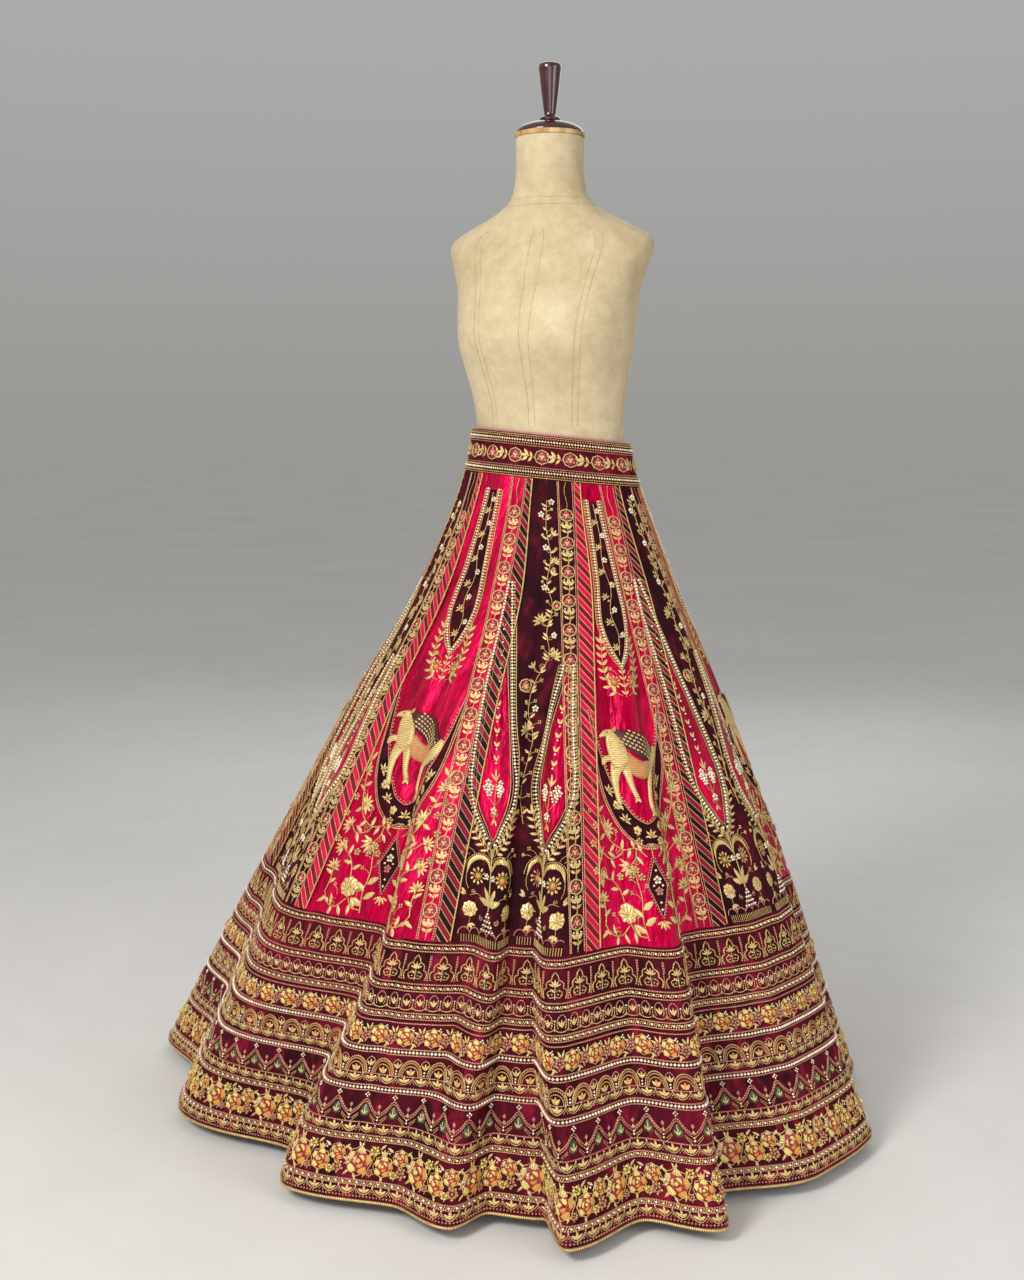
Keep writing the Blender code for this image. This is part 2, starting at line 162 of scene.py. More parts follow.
FOLDS = (
    Fold("left crest", -102, 0.066, 0.0, 0),
    Fold("left valley", -87, -0.024, 0.004, 4),
    Fold("left shoulder", -71, -0.004, 0.0, 8),
    Fold("deep valley", -48, -0.104, 0.016, 11),
    Fold("front left crest", -36, -0.022, 0.0, 9),
    Fold("flat of the front", -19, -0.046, 0.0, 8),
    Fold("small crest", -9, -0.004, 0.0, 3),
    Fold("small valley", -4, -0.052, 0.0, 0),
    Fold("centre valley", 3, -0.036, 0.012, -3),
    Fold("centre crest", 8, 0.05, -0.012, -3),
    Fold("centre dip", 18, -0.006, 0.0, 0),
    Fold("right centre crest", 26, 0.06, 0.008, 0),
    Fold("right centre valley", 32, -0.032, -0.008, 2),
    Fold("right swell", 47, 0.028, 0.0, 2),
    Fold("right crest", 61, 0.038, 0.004, 0),
    Fold("right valley", 74, -0.044, -0.004, 0),
    Fold("side crest", 89, -0.01, 0.0, -3),
    Fold("side valley", 105, -0.062, 0.004, 0),
    Fold("back right crest", 121, 0.03, -0.004, 3),
    Fold("back right valley", 134, -0.04, 0.0, 0),
    Fold("back right swell", 150, 0.044, 0.004, -2),
    Fold("back valley", 164, -0.05, 0.0, 0),
    Fold("back crest", 180, 0.034, -0.004, 2),
    Fold("back left valley", 196, -0.052, 0.006, 0),
    Fold("back left crest", 210, 0.05, -0.006, -2),
    Fold("back left dip", 226, -0.036, 0.0, 2),
    Fold("left back swell", 238, 0.02, 0.0, 0),
    Fold("left back valley", 248, -0.02, 0.004, -2),
)

CREASES = (
    Crease(-55.0, 0.7, 0.3, 0.016, -0.005, 3),
    Crease(-44.0, 0.9, 0.36, 0.011, 0.003, 4),
    Crease(-38.0, 0.62, 0.34, 0.013, -0.006, 5),
    Crease(-31.0, 0.8, 0.38, 0.01, 0.0032, 2),
    Crease(-24.0, 0.58, 0.1, 0.014, -0.0038, -2),
    Crease(-13.0, 0.46, 0.06, 0.016, -0.004, 1),
    Crease(-6.0, 0.72, 0.3, 0.01, 0.003, 0),
    Crease(0.5, 0.66, 0.2, 0.014, -0.0052, 1),
    Crease(6.5, 0.5, 0.05, 0.012, 0.003, 1),
    Crease(14.0, 0.92, 0.42, 0.01, 0.003, 0),
    Crease(19.0, 0.6, 0.22, 0.014, -0.004, 1),
    Crease(29.0, 0.74, 0.28, 0.012, -0.0052, 2),
    Crease(36.0, 0.88, 0.34, 0.011, 0.0034, -1),
    Crease(44.0, 0.52, 0.06, 0.018, -0.004, 1),
    Crease(54.0, 0.78, 0.3, 0.014, 0.0038, 2),
    Crease(66.0, 0.6, 0.12, 0.016, -0.0046, -1),
    Crease(81.0, 0.86, 0.3, 0.013, 0.0036, 2),
    Crease(96.0, 0.64, 0.1, 0.018, -0.005, 1),
    Crease(112.0, 0.9, 0.36, 0.012, 0.0034, -2),
    Crease(127.0, 0.58, 0.08, 0.016, -0.0048, 2),
    Crease(142.0, 0.8, 0.26, 0.013, 0.0034, 1),
    Crease(157.0, 0.62, 0.06, 0.018, -0.0046, -1),
    Crease(172.0, 0.88, 0.34, 0.012, 0.0036, 0),
    Crease(188.0, 0.56, 0.1, 0.015, -0.005, 2),
    Crease(203.0, 0.84, 0.28, 0.013, 0.0034, -2),
    Crease(218.0, 0.64, 0.08, 0.018, -0.0044, 1),
    Crease(233.0, 0.9, 0.32, 0.012, 0.0034, 2),
    Crease(252.0, 0.6, 0.1, 0.016, -0.0046, -1),
    Crease(266.0, 0.82, 0.28, 0.013, 0.0032, 2),
    Crease(281.0, 0.56, 0.06, 0.016, -0.0044, 3),
    Crease(294.0, 0.86, 0.36, 0.011, 0.0032, 4),
)

KALIS = (
    (Cloth.VELVET, -19.0),
    (Cloth.SATIN, 11.0),
    (Cloth.VELVET, 40.0),
    (Cloth.SATIN, 70.0),
    (Cloth.VELVET, 98.0),
    (Cloth.SATIN, 126.0),
    (Cloth.VELVET, 154.0),
    (Cloth.SATIN, 183.0),
    (Cloth.VELVET, 212.0),
    (Cloth.SATIN, 240.0),
    (Cloth.VELVET, 268.0),
    (Cloth.SATIN, 302.0),
)


def side_by_side(*parts: Array) -> Array:
    """Arrays of one shape joined as the columns of a new last axis."""
    return np.stack(parts, axis=-1)


def ease(share: Array) -> Array:
    """0 to 1 with level ends."""
    share = np.clip(share, 0.0, 1.0)
    return share * share * (3.0 - 2.0 * share)


def seam_angle(number: int) -> float:
    """The angle of the seam at the left edge of a kali, counted on past a full turn."""
    return KALIS[number % len(KALIS)][1] + 360.0 * (number // len(KALIS))


def cubic(first: object, second: object, leaving: object, arriving: object, s: object) -> object:
    """Between two values at a share s, with the slopes at its ends."""
    return (
        first * (2 * s**3 - 3 * s**2 + 1)
        + leaving * (s**3 - 2 * s**2 + s)
        + second * (3 * s**2 - 2 * s**3)
        + arriving * (s**3 - s**2)
    )


def smooth_read(keys: Sequence[float], values: Sequence[float], at: float) -> float:
    """Reads a short table smoothly.

    Args:
        keys: the falling key column.
        values: the value column.
        at: the key to read at.

    Returns:
        The value there, on a cubic through the rows.
    """
    index = 0
    while index < len(keys) - 2 and at < keys[index + 1]:
        index += 1
    before, after = max(index - 1, 0), min(index + 2, len(keys) - 1)
    a, b = values[index], values[index + 1]
    span = keys[index + 1] - keys[index]
    slope_a = (b - values[before]) / (keys[index + 1] - keys[before]) * span
    slope_b = (values[after] - a) / (keys[after] - keys[index]) * span
    return cubic(a, b, slope_a, slope_b, min(1.0, max(0.0, (at - keys[index]) / span)))


@dataclass
class Drape:
    """The one surface that all the cloth follows, read from a table of places and normals."""

    waist_top: float
    waist_seam: float
    waist_dip: float
    border_top: float
    hem: float
    fold_top: float = 0.95
    fold_growth: float = 1.3
    heights: Array = field(init=False)
    angles: Array = field(init=False)
    places: Array = field(init=False)
    normals: Array = field(init=False)
    section_table: dict[str, Array] = field(init=False)

    def __post_init__(self) -> None:
        """Fills the tables once, because every piece reads them."""
        self.heights = np.arange(-0.02, 1.13, TABLE_STEP_HEIGHT)
        self.angles = np.arange(-180.0, 180.0 + TABLE_STEP_DEGREES / 2, TABLE_STEP_DEGREES)
        keys = [row.height for row in SECTIONS]
        self.section_table = {
            name: np.array([
                smooth_read(keys, [getattr(row, name) for row in SECTIONS], z) for z in self.heights
            ])
            for name in ("shift", "half_width", "half_depth")
        }
        angle, height = np.meshgrid(self.angles, self.heights)
        self.places = self.surface(angle, height)
        turn, rise = 0.05, 0.0005
        across = self.surface(angle + turn, height) - self.surface(angle - turn, height)
        upward = self.surface(angle, height + rise) - self.surface(angle, height - rise)
        normals = np.cross(across, upward)
        self.normals = normals / np.linalg.norm(normals, axis=-1, keepdims=True)

    def section(self, name: str, height: Array) -> Array:
        """A mean size of the skirt at some heights."""
        return np.interp(height, self.heights, self.section_table[name])

    def fold_offsets(self, angle: Array, height: Array) -> tuple[Array, Array]:
        """How far the folds push the cloth out and sideways.

        Args:
            angle: degrees from the front.
            height: metres.

        Returns:
            The two offsets in metres.
        """
        depth = np.clip((self.fold_top - height) / (self.fold_top - self.hem), 0.0, None) ** self.fold_growth
        rise = ease((height - self.hem) / (self.border_top - self.hem))
        first = FOLDS[0].at + FOLDS[0].drift * rise
        wrapped = (angle - first) % 360.0 + first
        out, lean = np.zeros_like(wrapped), np.zeros_like(wrapped)
        for here, beyond, lap in zip(FOLDS, FOLDS[1:] + FOLDS[:1], [0.0] * (len(FOLDS) - 1) + [360.0]):
            start = here.at + here.drift * rise
            end = beyond.at + beyond.drift * rise + lap
            inside = (wrapped >= start - EPSILON) & (wrapped < end - EPSILON)
            share = ease((wrapped - start) / (end - start))
            out = np.where(inside, here.out + (beyond.out - here.out) * share, out)
            lean = np.where(inside, here.lean + (beyond.lean - here.lean) * share, lean)
        return out * depth, lean * depth

    def crease_offset(self, angle: Array, height: Array) -> Array:
        """The sum of the listed creases, outwards in metres."""
        radius = (self.section("half_width", height) + self.section("half_depth", height)) / 2
        total = np.zeros_like(height)
        for crease in CREASES:
            middle = crease.at + crease.drift * (crease.top - height) / (crease.top - crease.bottom)
            away = (angle - middle + 180.0) % 360.0 - 180.0
            across = np.radians(away) * radius / crease.width
            run = (crease.top - height) / (crease.top - crease.bottom)
            fade = ease(run / 0.3) * ease((1.15 - run) / 0.3)
            total += crease.depth * np.exp(-across * across) * fade
        return total

    def surface(self, angle: Array, height: Array) -> Array:
        """Points of the cloth's inner face."""
        turned = np.radians(angle - FORM_TURN)
        x = self.section("half_width", height) * np.sin(turned)
        y = -self.section("half_depth", height) * np.cos(turned)
        cosine, sine = math.cos(math.radians(FORM_TURN)), math.sin(math.radians(FORM_TURN))
        out, lean = self.fold_offsets(angle, height)
        out = out + self.crease_offset(angle, height)
        around = np.radians(angle)
        px = x * cosine - y * sine + np.sin(around) * out + np.cos(around) * lean
        py = x * sine + y * cosine - np.cos(around) * out + np.sin(around) * lean
        return side_by_side(px + self.section("shift", height), py, height)

    def lay(self, angle: Array, height: Array, lift: Array | float) -> Array:
        """Places on the cloth, raised along its normal.

        Args:
            angle: degrees from the front.
            height: metres.
            lift: metres above the cloth's inner face.

        Returns:
            The points, one row each.
        """
        angle, height, lift = np.broadcast_arrays(angle, height, lift)
        column = ((angle + 180.0) % 360.0) / TABLE_STEP_DEGREES
        row = np.clip((height - self.heights[0]) / TABLE_STEP_HEIGHT, 0, len(self.heights) - 1.001)
        c0, r0 = np.floor(column).astype(int), np.floor(row).astype(int)
        c0 = np.minimum(c0, len(self.angles) - 2)
        fc, fr = (column - c0)[..., None], (row - r0)[..., None]

        def read(table: Array) -> Array:
            """A table read between its four nearest entries."""
            near = table[r0, c0] * (1 - fc) + table[r0, c0 + 1] * fc
            far = table[r0 + 1, c0] * (1 - fc) + table[r0 + 1, c0 + 1] * fc
            return near * (1 - fr) + far * fr

        normal = read(self.normals)
        normal = normal / np.linalg.norm(normal, axis=-1, keepdims=True)
        return read(self.places) + normal * lift[..., None]

    def waist_height(self, angle: Array, height: Array) -> Array:
        """A height near the waist, lowered where the waistband dips."""
        return height - self.waist_dip * np.sin(np.radians(angle))

    def arc(self, start: float, end: float, height: float, count: int) -> tuple[Array, Array]:
        """Angles between two ends and the length of cloth up to each at a height."""
        angles = np.linspace(start, end, count)
        points = self.lay(angles, np.full(count, height), np.full(count, MEASURE_LIFT))
        steps = np.linalg.norm(np.diff(points, axis=0), axis=1)
        return angles, np.concatenate(([0.0], np.cumsum(steps)))


class KaliMap:
    """Carries flat places on one kali, in metres, onto the draped cloth.

    Height is counted up from the border's seam along the cloth, and across from the kali's left
    seam, its right seam, or the middle of the plain field between the striped band and the rose
    strip.
    """

    ROWS = 90
    REACH = 0.4
    SAMPLES = 401

    def __init__(self, drape: Drape, number: int, band_width: Callable[[float], float], strip: float) -> None:
        """Fills the tables of angle by row and metres across.

        Args:
            drape: the cloth's surface.
            number: the kali, from 0.
            band_width: the striped band's width at a share of the way down.
            strip: the rose strip's width.
        """
        self.drape = drape
        self.number = number
        self.start, self.end = seam_angle(number), seam_angle(number + 1)
        self.shares = np.linspace(0.0, 1.0, self.ROWS)
        middle = (self.start + self.end) / 2
        self.heights = self.height_at(middle, self.shares)
        spine = drape.lay(np.full(self.ROWS, middle), self.heights, np.full(self.ROWS, MEASURE_LIFT))
        steps = np.linalg.norm(np.diff(spine, axis=0), axis=1)
        down = np.concatenate(([0.0], np.cumsum(steps)))
        self.length = float(down[-1])
        self.up = self.length - down
        self.across = np.linspace(-self.REACH, self.REACH, self.SAMPLES)
        self.tables = {edge: np.zeros((self.ROWS, self.SAMPLES)) for edge in Edge}
        self.widths, self.fields = np.zeros(self.ROWS), np.zeros(self.ROWS)
        for row, share in enumerate(self.shares):
            angles, lengths = drape.arc(self.start, self.end, float(self.heights[row]), 90)
            total, band = lengths[-1], band_width(share)
            self.widths[row] = total
            self.fields[row] = total - band - strip
            origins = {Edge.LEFT: 0.0, Edge.RIGHT: total, Edge.CENTRE: (band + total - strip) / 2}
            for edge, origin in origins.items():
                self.tables[edge][row] = np.interp(self.across + origin, lengths, angles)

    def height_at(self, angle: float | Array, share: float | Array) -> Array:
        """The height at a share of the way down this kali."""
        top = self.drape.waist_height(angle, self.drape.waist_seam)
        return top + (self.drape.border_top - top) * share

    def field_width(self, up: float) -> float:
        """The width of the plain field at a height above the border."""
        return float(np.interp(up, self.up[::-1], self.fields[::-1]))

    def locate(self, x: Array, y: Array, edge: Edge = Edge.CENTRE) -> tuple[Array, Array]:
        """The angle and height of flat places.

        Args:
            x: metres across from the edge's origin.
            y: metres up from the border's seam.
            edge: where x is measured from.

        Returns:
            Degrees and metres.
        """
        row = np.interp(y, self.up[::-1], np.arange(self.ROWS)[::-1].astype(float))
        row = np.clip(row, 0, self.ROWS - 1.001)
        column = np.clip((x + self.REACH) / (2 * self.REACH) * (self.SAMPLES - 1), 0, self.SAMPLES - 1.001)
        r0, c0 = np.floor(row).astype(int), np.floor(column).astype(int)
        fr, fc = row - r0, column - c0
        table = self.tables[edge]
        angle = (
            table[r0, c0] * (1 - fr) * (1 - fc)
            + table[r0, c0 + 1] * (1 - fr) * fc
            + table[r0 + 1, c0] * fr * (1 - fc)
            + table[r0 + 1, c0 + 1] * fr * fc
        )
        share = self.shares[r0] * (1 - fr) + self.shares[r0 + 1] * fr
        return angle, self.height_at(angle, share)


class RingMap:
    """Carries flat places on a band round the skirt onto the draped cloth.

    Across is metres round the skirt at the band's own height, from the back seam, and up is metres
    along the cloth from that height.
    """

    REACH = 0.01

    def __init__(self, drape: Drape, height: float, start: float = -180.0, dips: bool = False) -> None:
        """Measures the ring.

        Args:
            drape: the cloth's surface.
            height: the band's middle.
            start: degrees where the ring begins and ends.
            dips: whether the ring follows the waistband's dip.
        """
        self.drape, self.height, self.dips = drape, height, dips
        self.ring_angles, self.lengths = drape.arc(start, start + 360.0, height, ARC_STEPS)
        self.total = float(self.lengths[-1])
        spread = drape.section("half_depth", np.array([height - self.REACH, height + self.REACH]))
        slope = abs(float(spread[0] - spread[1])) / (2 * self.REACH)
        self.fall = 1.0 / math.sqrt(1.0 + slope * slope)

    def locate(self, x: Array, y: Array, edge: Edge = Edge.LEFT) -> tuple[Array, Array]:
        """The angle and height of flat places."""
        angle = np.interp(np.mod(x, self.total), self.lengths, self.ring_angles)
        height = self.height + y * self.fall
        if self.dips:
            height = self.drape.waist_height(angle, height)
        return angle, height

    def spaced(self, pitch: float, phase: float = 0.0) -> tuple[Array, float]:
        """Even places round the ring at nearly a pitch, and the exact pitch."""
        count = max(1, round(self.total / pitch))
        exact = self.total / count
        return (np.arange(count) + phase) * exact, exact


# ---- meshes -------------------------------------------------------------------------------------

def link(name: str, mesh: Mesh) -> Piece:
    """A new object for a mesh, in the scene."""
    piece = bpy.data.objects.new(name, mesh)
    bpy.context.scene.collection.objects.link(piece)
    return piece


def new_mesh(name: str, points: Array, faces: Sequence[Array]) -> Mesh:
    """A mesh from arrays.

    Args:
        name: its name.
        points: one row a vertex.
        faces: arrays of vertex numbers, each with faces of one size.

    Returns:
        The mesh, smooth-shaded.
    """
    mesh = bpy.data.meshes.new(name)
    mesh.vertices.add(len(points))
    mesh.vertices.foreach_set("co", np.ascontiguousarray(points, dtype=np.float32).ravel())
    faces = [f for f in faces if len(f)]
    if faces:
        sizes = np.concatenate([np.full(len(f), f.shape[1]) for f in faces])
        corners = np.concatenate([f.ravel() for f in faces])
        mesh.loops.add(len(corners))
        mesh.loops.foreach_set("vertex_index", corners)
        mesh.polygons.add(len(sizes))
        mesh.polygons.foreach_set("loop_start", np.concatenate(([0], np.cumsum(sizes)[:-1])))
        mesh.polygons.foreach_set("loop_total", sizes)
    mesh.update(calc_edges=True)
    mesh.validate()
    if faces:
        mesh.shade_smooth()
    return mesh


def add_uv(mesh: Mesh, flat: Array) -> None:
    """Gives a mesh a UV map in metres from one flat place for each vertex."""
    layer = mesh.uv_layers.new(name="flat")
    corners = np.zeros(len(mesh.loops), dtype=int)
    mesh.loops.foreach_get("vertex_index", corners)
    layer.data.foreach_set("uv", flat[corners].astype(np.float32).ravel())


def add_number(mesh: Mesh, name: str, values: Array) -> None:
    """Gives a mesh one number for each vertex."""
    attribute = mesh.attributes.new(name, "FLOAT", "POINT")
    attribute.data.foreach_set("value", values.astype(np.float32))


def settle(piece: Piece, slot: str, *nodes: str) -> Piece:
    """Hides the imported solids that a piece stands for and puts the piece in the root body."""
    if nodes:
        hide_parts(*nodes)
    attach(piece, ROOT)
    return piece


def seed_mesh(name: str, points: Array, radii: Array, edges: Sequence[Array] = ()) -> Mesh:
    """Points with a radius each, and any edges between them, for a recipe to grow on."""
    mesh = bpy.data.meshes.new(name)
    mesh.vertices.add(len(points))
    mesh.vertices.foreach_set("co", points.astype(np.float32).ravel())
    if len(edges):
        mesh.edges.add(len(edges))
        mesh.edges.foreach_set("vertices", edges.ravel())
    add_number(mesh, "radius", radii)
    mesh.update()
    return mesh


def thread_seed(name: str, lines: Sequence[tuple[Array, float, bool]]) -> Mesh:
    """Lines as edges with radii: each has its points, its radius and whether it closes."""
    edges, start = [], 0
    for line, _, closed in lines:
        first = np.arange(start, start + len(line) - 1)
        edges.append(side_by_side(first, first + 1))
        if closed:
            edges.append(np.array([[start + len(line) - 1, start]]))
        start += len(line)
    points = np.concatenate([line for line, _, _ in lines])
    radii = np.concatenate([np.full(len(line), radius) for line, radius, _ in lines])
    return seed_mesh(name, points, radii, np.concatenate(edges))


def closed_rings(name: str, rings: Array, sharp: float, flat: Optional[Array] = None) -> Piece:
    """A closed round form from rings of points.

    Args:
        name: the piece's name.
        rings: one ring of points a row, lowest first.
        sharp: degrees past which an edge stays sharp.
        flat: a flat place in metres for each point.

    Returns:
        The piece.
    """
    levels, sides = rings.shape[:2]
    count = levels * sides
    index = np.arange(count).reshape(levels, sides)
    index = np.concatenate([index, index[:, :1]], axis=1)
    quads = side_by_side(index[:-1, :-1], index[:-1, 1:], index[1:, 1:], index[1:, :-1]).reshape(-1, 4)
    ends = np.array([[0.0, 0.0, rings[0, 0, 2]], [0.0, 0.0, rings[-1, 0, 2]]])
    foot = side_by_side(index[0, 1:], index[0, :-1], np.full(sides, count))
    top = side_by_side(index[-1, :-1], index[-1, 1:], np.full(sides, count + 1))
    mesh = new_mesh(name, np.concatenate([rings.reshape(-1, 3), ends]), [quads, foot, top])
    if flat is not None:
        add_uv(mesh, np.concatenate([flat.reshape(-1, 2), np.zeros((2, 2))]))
    mesh.set_sharp_from_angle(angle=math.radians(sharp))
    return link(name, mesh)


def shell(name: str, outer: Array, inner: Array, flat: Array, ring: bool = False) -> Piece:
    """A closed thin shell from two grids of points.

    Args:
        name: the piece's name.
        outer: the outer face, rows from top to bottom and columns towards +X.
        inner: the inner face, the same way.
        flat: a flat place in metres for each grid point.
        ring: whether the last column joins the first.

    Returns:
        The piece.
    """
    rows, columns = outer.shape[:2]
    index = np.arange(rows * columns).reshape(rows, columns)
    if ring:
        index = np.concatenate([index, index[:, :1]], axis=1)
    layer = rows * columns
    a, b, c, d = index[:-1, :-1], index[1:, :-1], index[1:, 1:], index[:-1, 1:]
    front = side_by_side(a, b, c, d).reshape(-1, 4)
    back = front[:, ::-1] + layer
    top = side_by_side(index[0, :-1], index[0, 1:], index[0, 1:] + layer, index[0, :-1] + layer)
    foot = side_by_side(index[-1, 1:], index[-1, :-1], index[-1, :-1] + layer, index[-1, 1:] + layer)
    faces = [front, back, top, foot]
    if not ring:
        left, right = index[:, 0], index[:, -1]
        faces.append(side_by_side(left[1:], left[:-1], left[:-1] + layer, left[1:] + layer))
        faces.append(side_by_side(right[:-1], right[1:], right[1:] + layer, right[:-1] + layer))
    points = np.concatenate([outer.reshape(-1, 3), inner.reshape(-1, 3)])
    mesh = new_mesh(name, points, faces)
    add_uv(mesh, np.concatenate([flat.reshape(-1, 2)] * 2))
    mesh.set_sharp_from_angle(angle=math.radians(60.0))
    return link(name, mesh)


# ---- Geometry Nodes -----------------------------------------------------------------------------

@dataclass
class NodeRecipe:
    """A small Geometry Nodes tree whose modifier inputs are set by name."""

    name: str
    tree: Tree = field(init=False)

    def __post_init__(self) -> None:
        """Makes the tree with its geometry sockets and lets the recipe fill it."""
        self.tree = bpy.data.node_groups.new(self.name, "GeometryNodeTree")
        face = self.tree.interface
        face.new_socket("Geometry", in_out="INPUT", socket_type="NodeSocketGeometry")
        face.new_socket("Geometry", in_out="OUTPUT", socket_type="NodeSocketGeometry")
        self.fill()

    def fill(self) -> None:
        """Adds the nodes; each recipe has its own."""
        raise NotImplementedError

    def add(self, kind: str) -> Node:
        """A new node of the tree."""
        return self.tree.nodes.new(kind)

    def join(self, start: Socket, end: Socket) -> None:
        """A link between two sockets."""
        self.tree.links.new(start, end)

    def socket(self, name: str, kind: str, default: Optional[float] = None) -> None:
        """A named input of the tree."""
        made = self.tree.interface.new_socket(name, in_out="INPUT", socket_type=kind)
        if default is not None:
            made.default_value = default

    def point_radius(self) -> Socket:
        """The radius kept on each point."""
        width = self.add("GeometryNodeInputNamedAttribute")
        width.data_type = "FLOAT"
        width.inputs["Name"].default_value = "radius"
        return width.outputs["Attribute"]

    def close(self, grown: Socket, entry: Node) -> None:
        """Ends the tree in Realize Instances, smooth shading and Set Material."""
        realize = self.add("GeometryNodeRealizeInstances")
        smooth = self.add("GeometryNodeSetShadeSmooth")
        dress = self.add("GeometryNodeSetMaterial")
        leave = self.add("NodeGroupOutput")
        self.join(grown, realize.inputs["Geometry"])
        self.join(realize.outputs["Geometry"], smooth.inputs["Geometry"])
        self.join(smooth.outputs["Geometry"], dress.inputs["Geometry"])
        self.join(entry.outputs["Finish"], dress.inputs["Material"])
        self.join(dress.outputs["Geometry"], leave.inputs["Geometry"])

    def grow(self, name: str, seed_mesh: Mesh, **settings: object) -> Piece:
        """Runs the tree on a mesh and keeps the result as a plain mesh.

        Args:
            name: the piece's name.
            seed_mesh: the points or lines that the tree works from.
            settings: its inputs by name, with _ for a space.

        Returns:
            The piece, with no modifier left on it.
        """
        seed = link(name + "_seed", seed_mesh)
        modifier = seed.modifiers.new(self.name, "NODES")
        modifier.node_group = self.tree
        for item in self.tree.interface.items_tree:
            key = item.name.replace(" ", "_").lower()
            if item.in_out == "INPUT" and key in settings:
                modifier[item.identifier] = settings[key]
        bpy.context.view_layer.update()
        graph = bpy.context.evaluated_depsgraph_get()
        mesh = bpy.data.meshes.new_from_object(seed.evaluated_get(graph), depsgraph=graph)
        mesh.name = name
        bpy.data.objects.remove(seed, do_unlink=True)
        return link(name, mesh)


class ThreadRecipe(NodeRecipe):
    """Turns lines into round threads, and keeps the distance along each as `run`."""

    def fill(self) -> None:
        """Lines to curves, a circle swept along them, caps on open ends."""
        self.socket("Sides", "NodeSocketInt", 5)
        self.socket("Finish", "NodeSocketMaterial")
        entry = self.add("NodeGroupInput")
        curves = self.add("GeometryNodeMeshToCurve")
        width = self.point_radius()
        radius = self.add("GeometryNodeSetCurveRadius")
        parameter = self.add("GeometryNodeSplineParameter")
        keep = self.add("GeometryNodeStoreNamedAttribute")
        keep.data_type, keep.domain = "FLOAT", "POINT"
        keep.inputs["Name"].default_value = "run"
        circle = self.add("GeometryNodeCurvePrimitiveCircle")
        circle.inputs["Radius"].default_value = 1.0
        sweep = self.add("GeometryNodeCurveToMesh")
        sweep.inputs["Fill Caps"].default_value = True
        self.join(entry.outputs["Geometry"], curves.inputs["Mesh"])
        self.join(curves.outputs["Curve"], radius.inputs["Curve"])
        self.join(width, radius.inputs["Radius"])
        self.join(radius.outputs["Curve"], keep.inputs["Geometry"])
        self.join(parameter.outputs["Length"], keep.inputs["Value"])
        self.join(entry.outputs["Sides"], circle.inputs["Resolution"])
        self.join(keep.outputs["Geometry"], sweep.inputs["Curve"])
        self.join(circle.outputs["Curve"], sweep.inputs["Profile Curve"])
        if "Scale" in sweep.inputs:
            self.join(width, sweep.inputs["Scale"])
        self.close(sweep.outputs["Mesh"], entry)


class BeadRecipe(NodeRecipe):
    """Puts a small round bead on each point, nearly all of one size."""

    def fill(self) -> None:
        """Round beads scaled by the points' `radius`."""
        self.socket("Sides", "NodeSocketInt", 4)
        self.socket("Rings", "NodeSocketInt", 2)
        self.socket("Unevenness", "NodeSocketFloat", 0.08)
        self.socket("Seed", "NodeSocketInt", 3)
        self.socket("Finish", "NodeSocketMaterial")
        entry = self.add("NodeGroupInput")
        ball = self.add("GeometryNodeMeshUVSphere")
        ball.inputs["Radius"].default_value = 1.0
        spread = self.add("GeometryNodeInstanceOnPoints")
        width = self.point_radius()
        chance = self.add("FunctionNodeRandomValue")
        chance.data_type = "FLOAT"
        low, high = self.add("ShaderNodeMath"), self.add("ShaderNodeMath")
        low.operation, high.operation = "SUBTRACT", "ADD"
        low.inputs[0].default_value = high.inputs[0].default_value = 1.0
        size = self.add("ShaderNodeMath")
        size.operation = "MULTIPLY"
        self.join(entry.outputs["Unevenness"], low.inputs[1])
        self.join(entry.outputs["Unevenness"], high.inputs[1])
        self.join(low.outputs["Value"], chance.inputs[2])
        self.join(high.outputs["Value"], chance.inputs[3])
        self.join(entry.outputs["Seed"], chance.inputs["Seed"])
        self.join(chance.outputs[1], size.inputs[0])
        self.join(width, size.inputs[1])
        self.join(entry.outputs["Sides"], ball.inputs["Segments"])
        self.join(entry.outputs["Rings"], ball.inputs["Rings"])
        self.join(entry.outputs["Geometry"], spread.inputs["Points"])
        self.join(ball.outputs["Mesh"], spread.inputs["Instance"])
        self.join(size.outputs["Value"], spread.inputs["Scale"])
        self.close(spread.outputs["Instances"], entry)


# ---- finishes -----------------------------------------------------------------------------------

Colour = tuple[float, float, float, float]


def dye(red: int, green: int, blue: int) -> Colour:
    """A colour from its screen values, 0 to 255."""
    def linear(value: int) -> float:
        """One channel, with the screen's curve taken off."""
        share = value / 255.0
        return share / 12.92 if share <= 0.04045 else ((share + 0.055) / 1.055) ** 2.4

    return linear(red), linear(green), linear(blue), 1.0


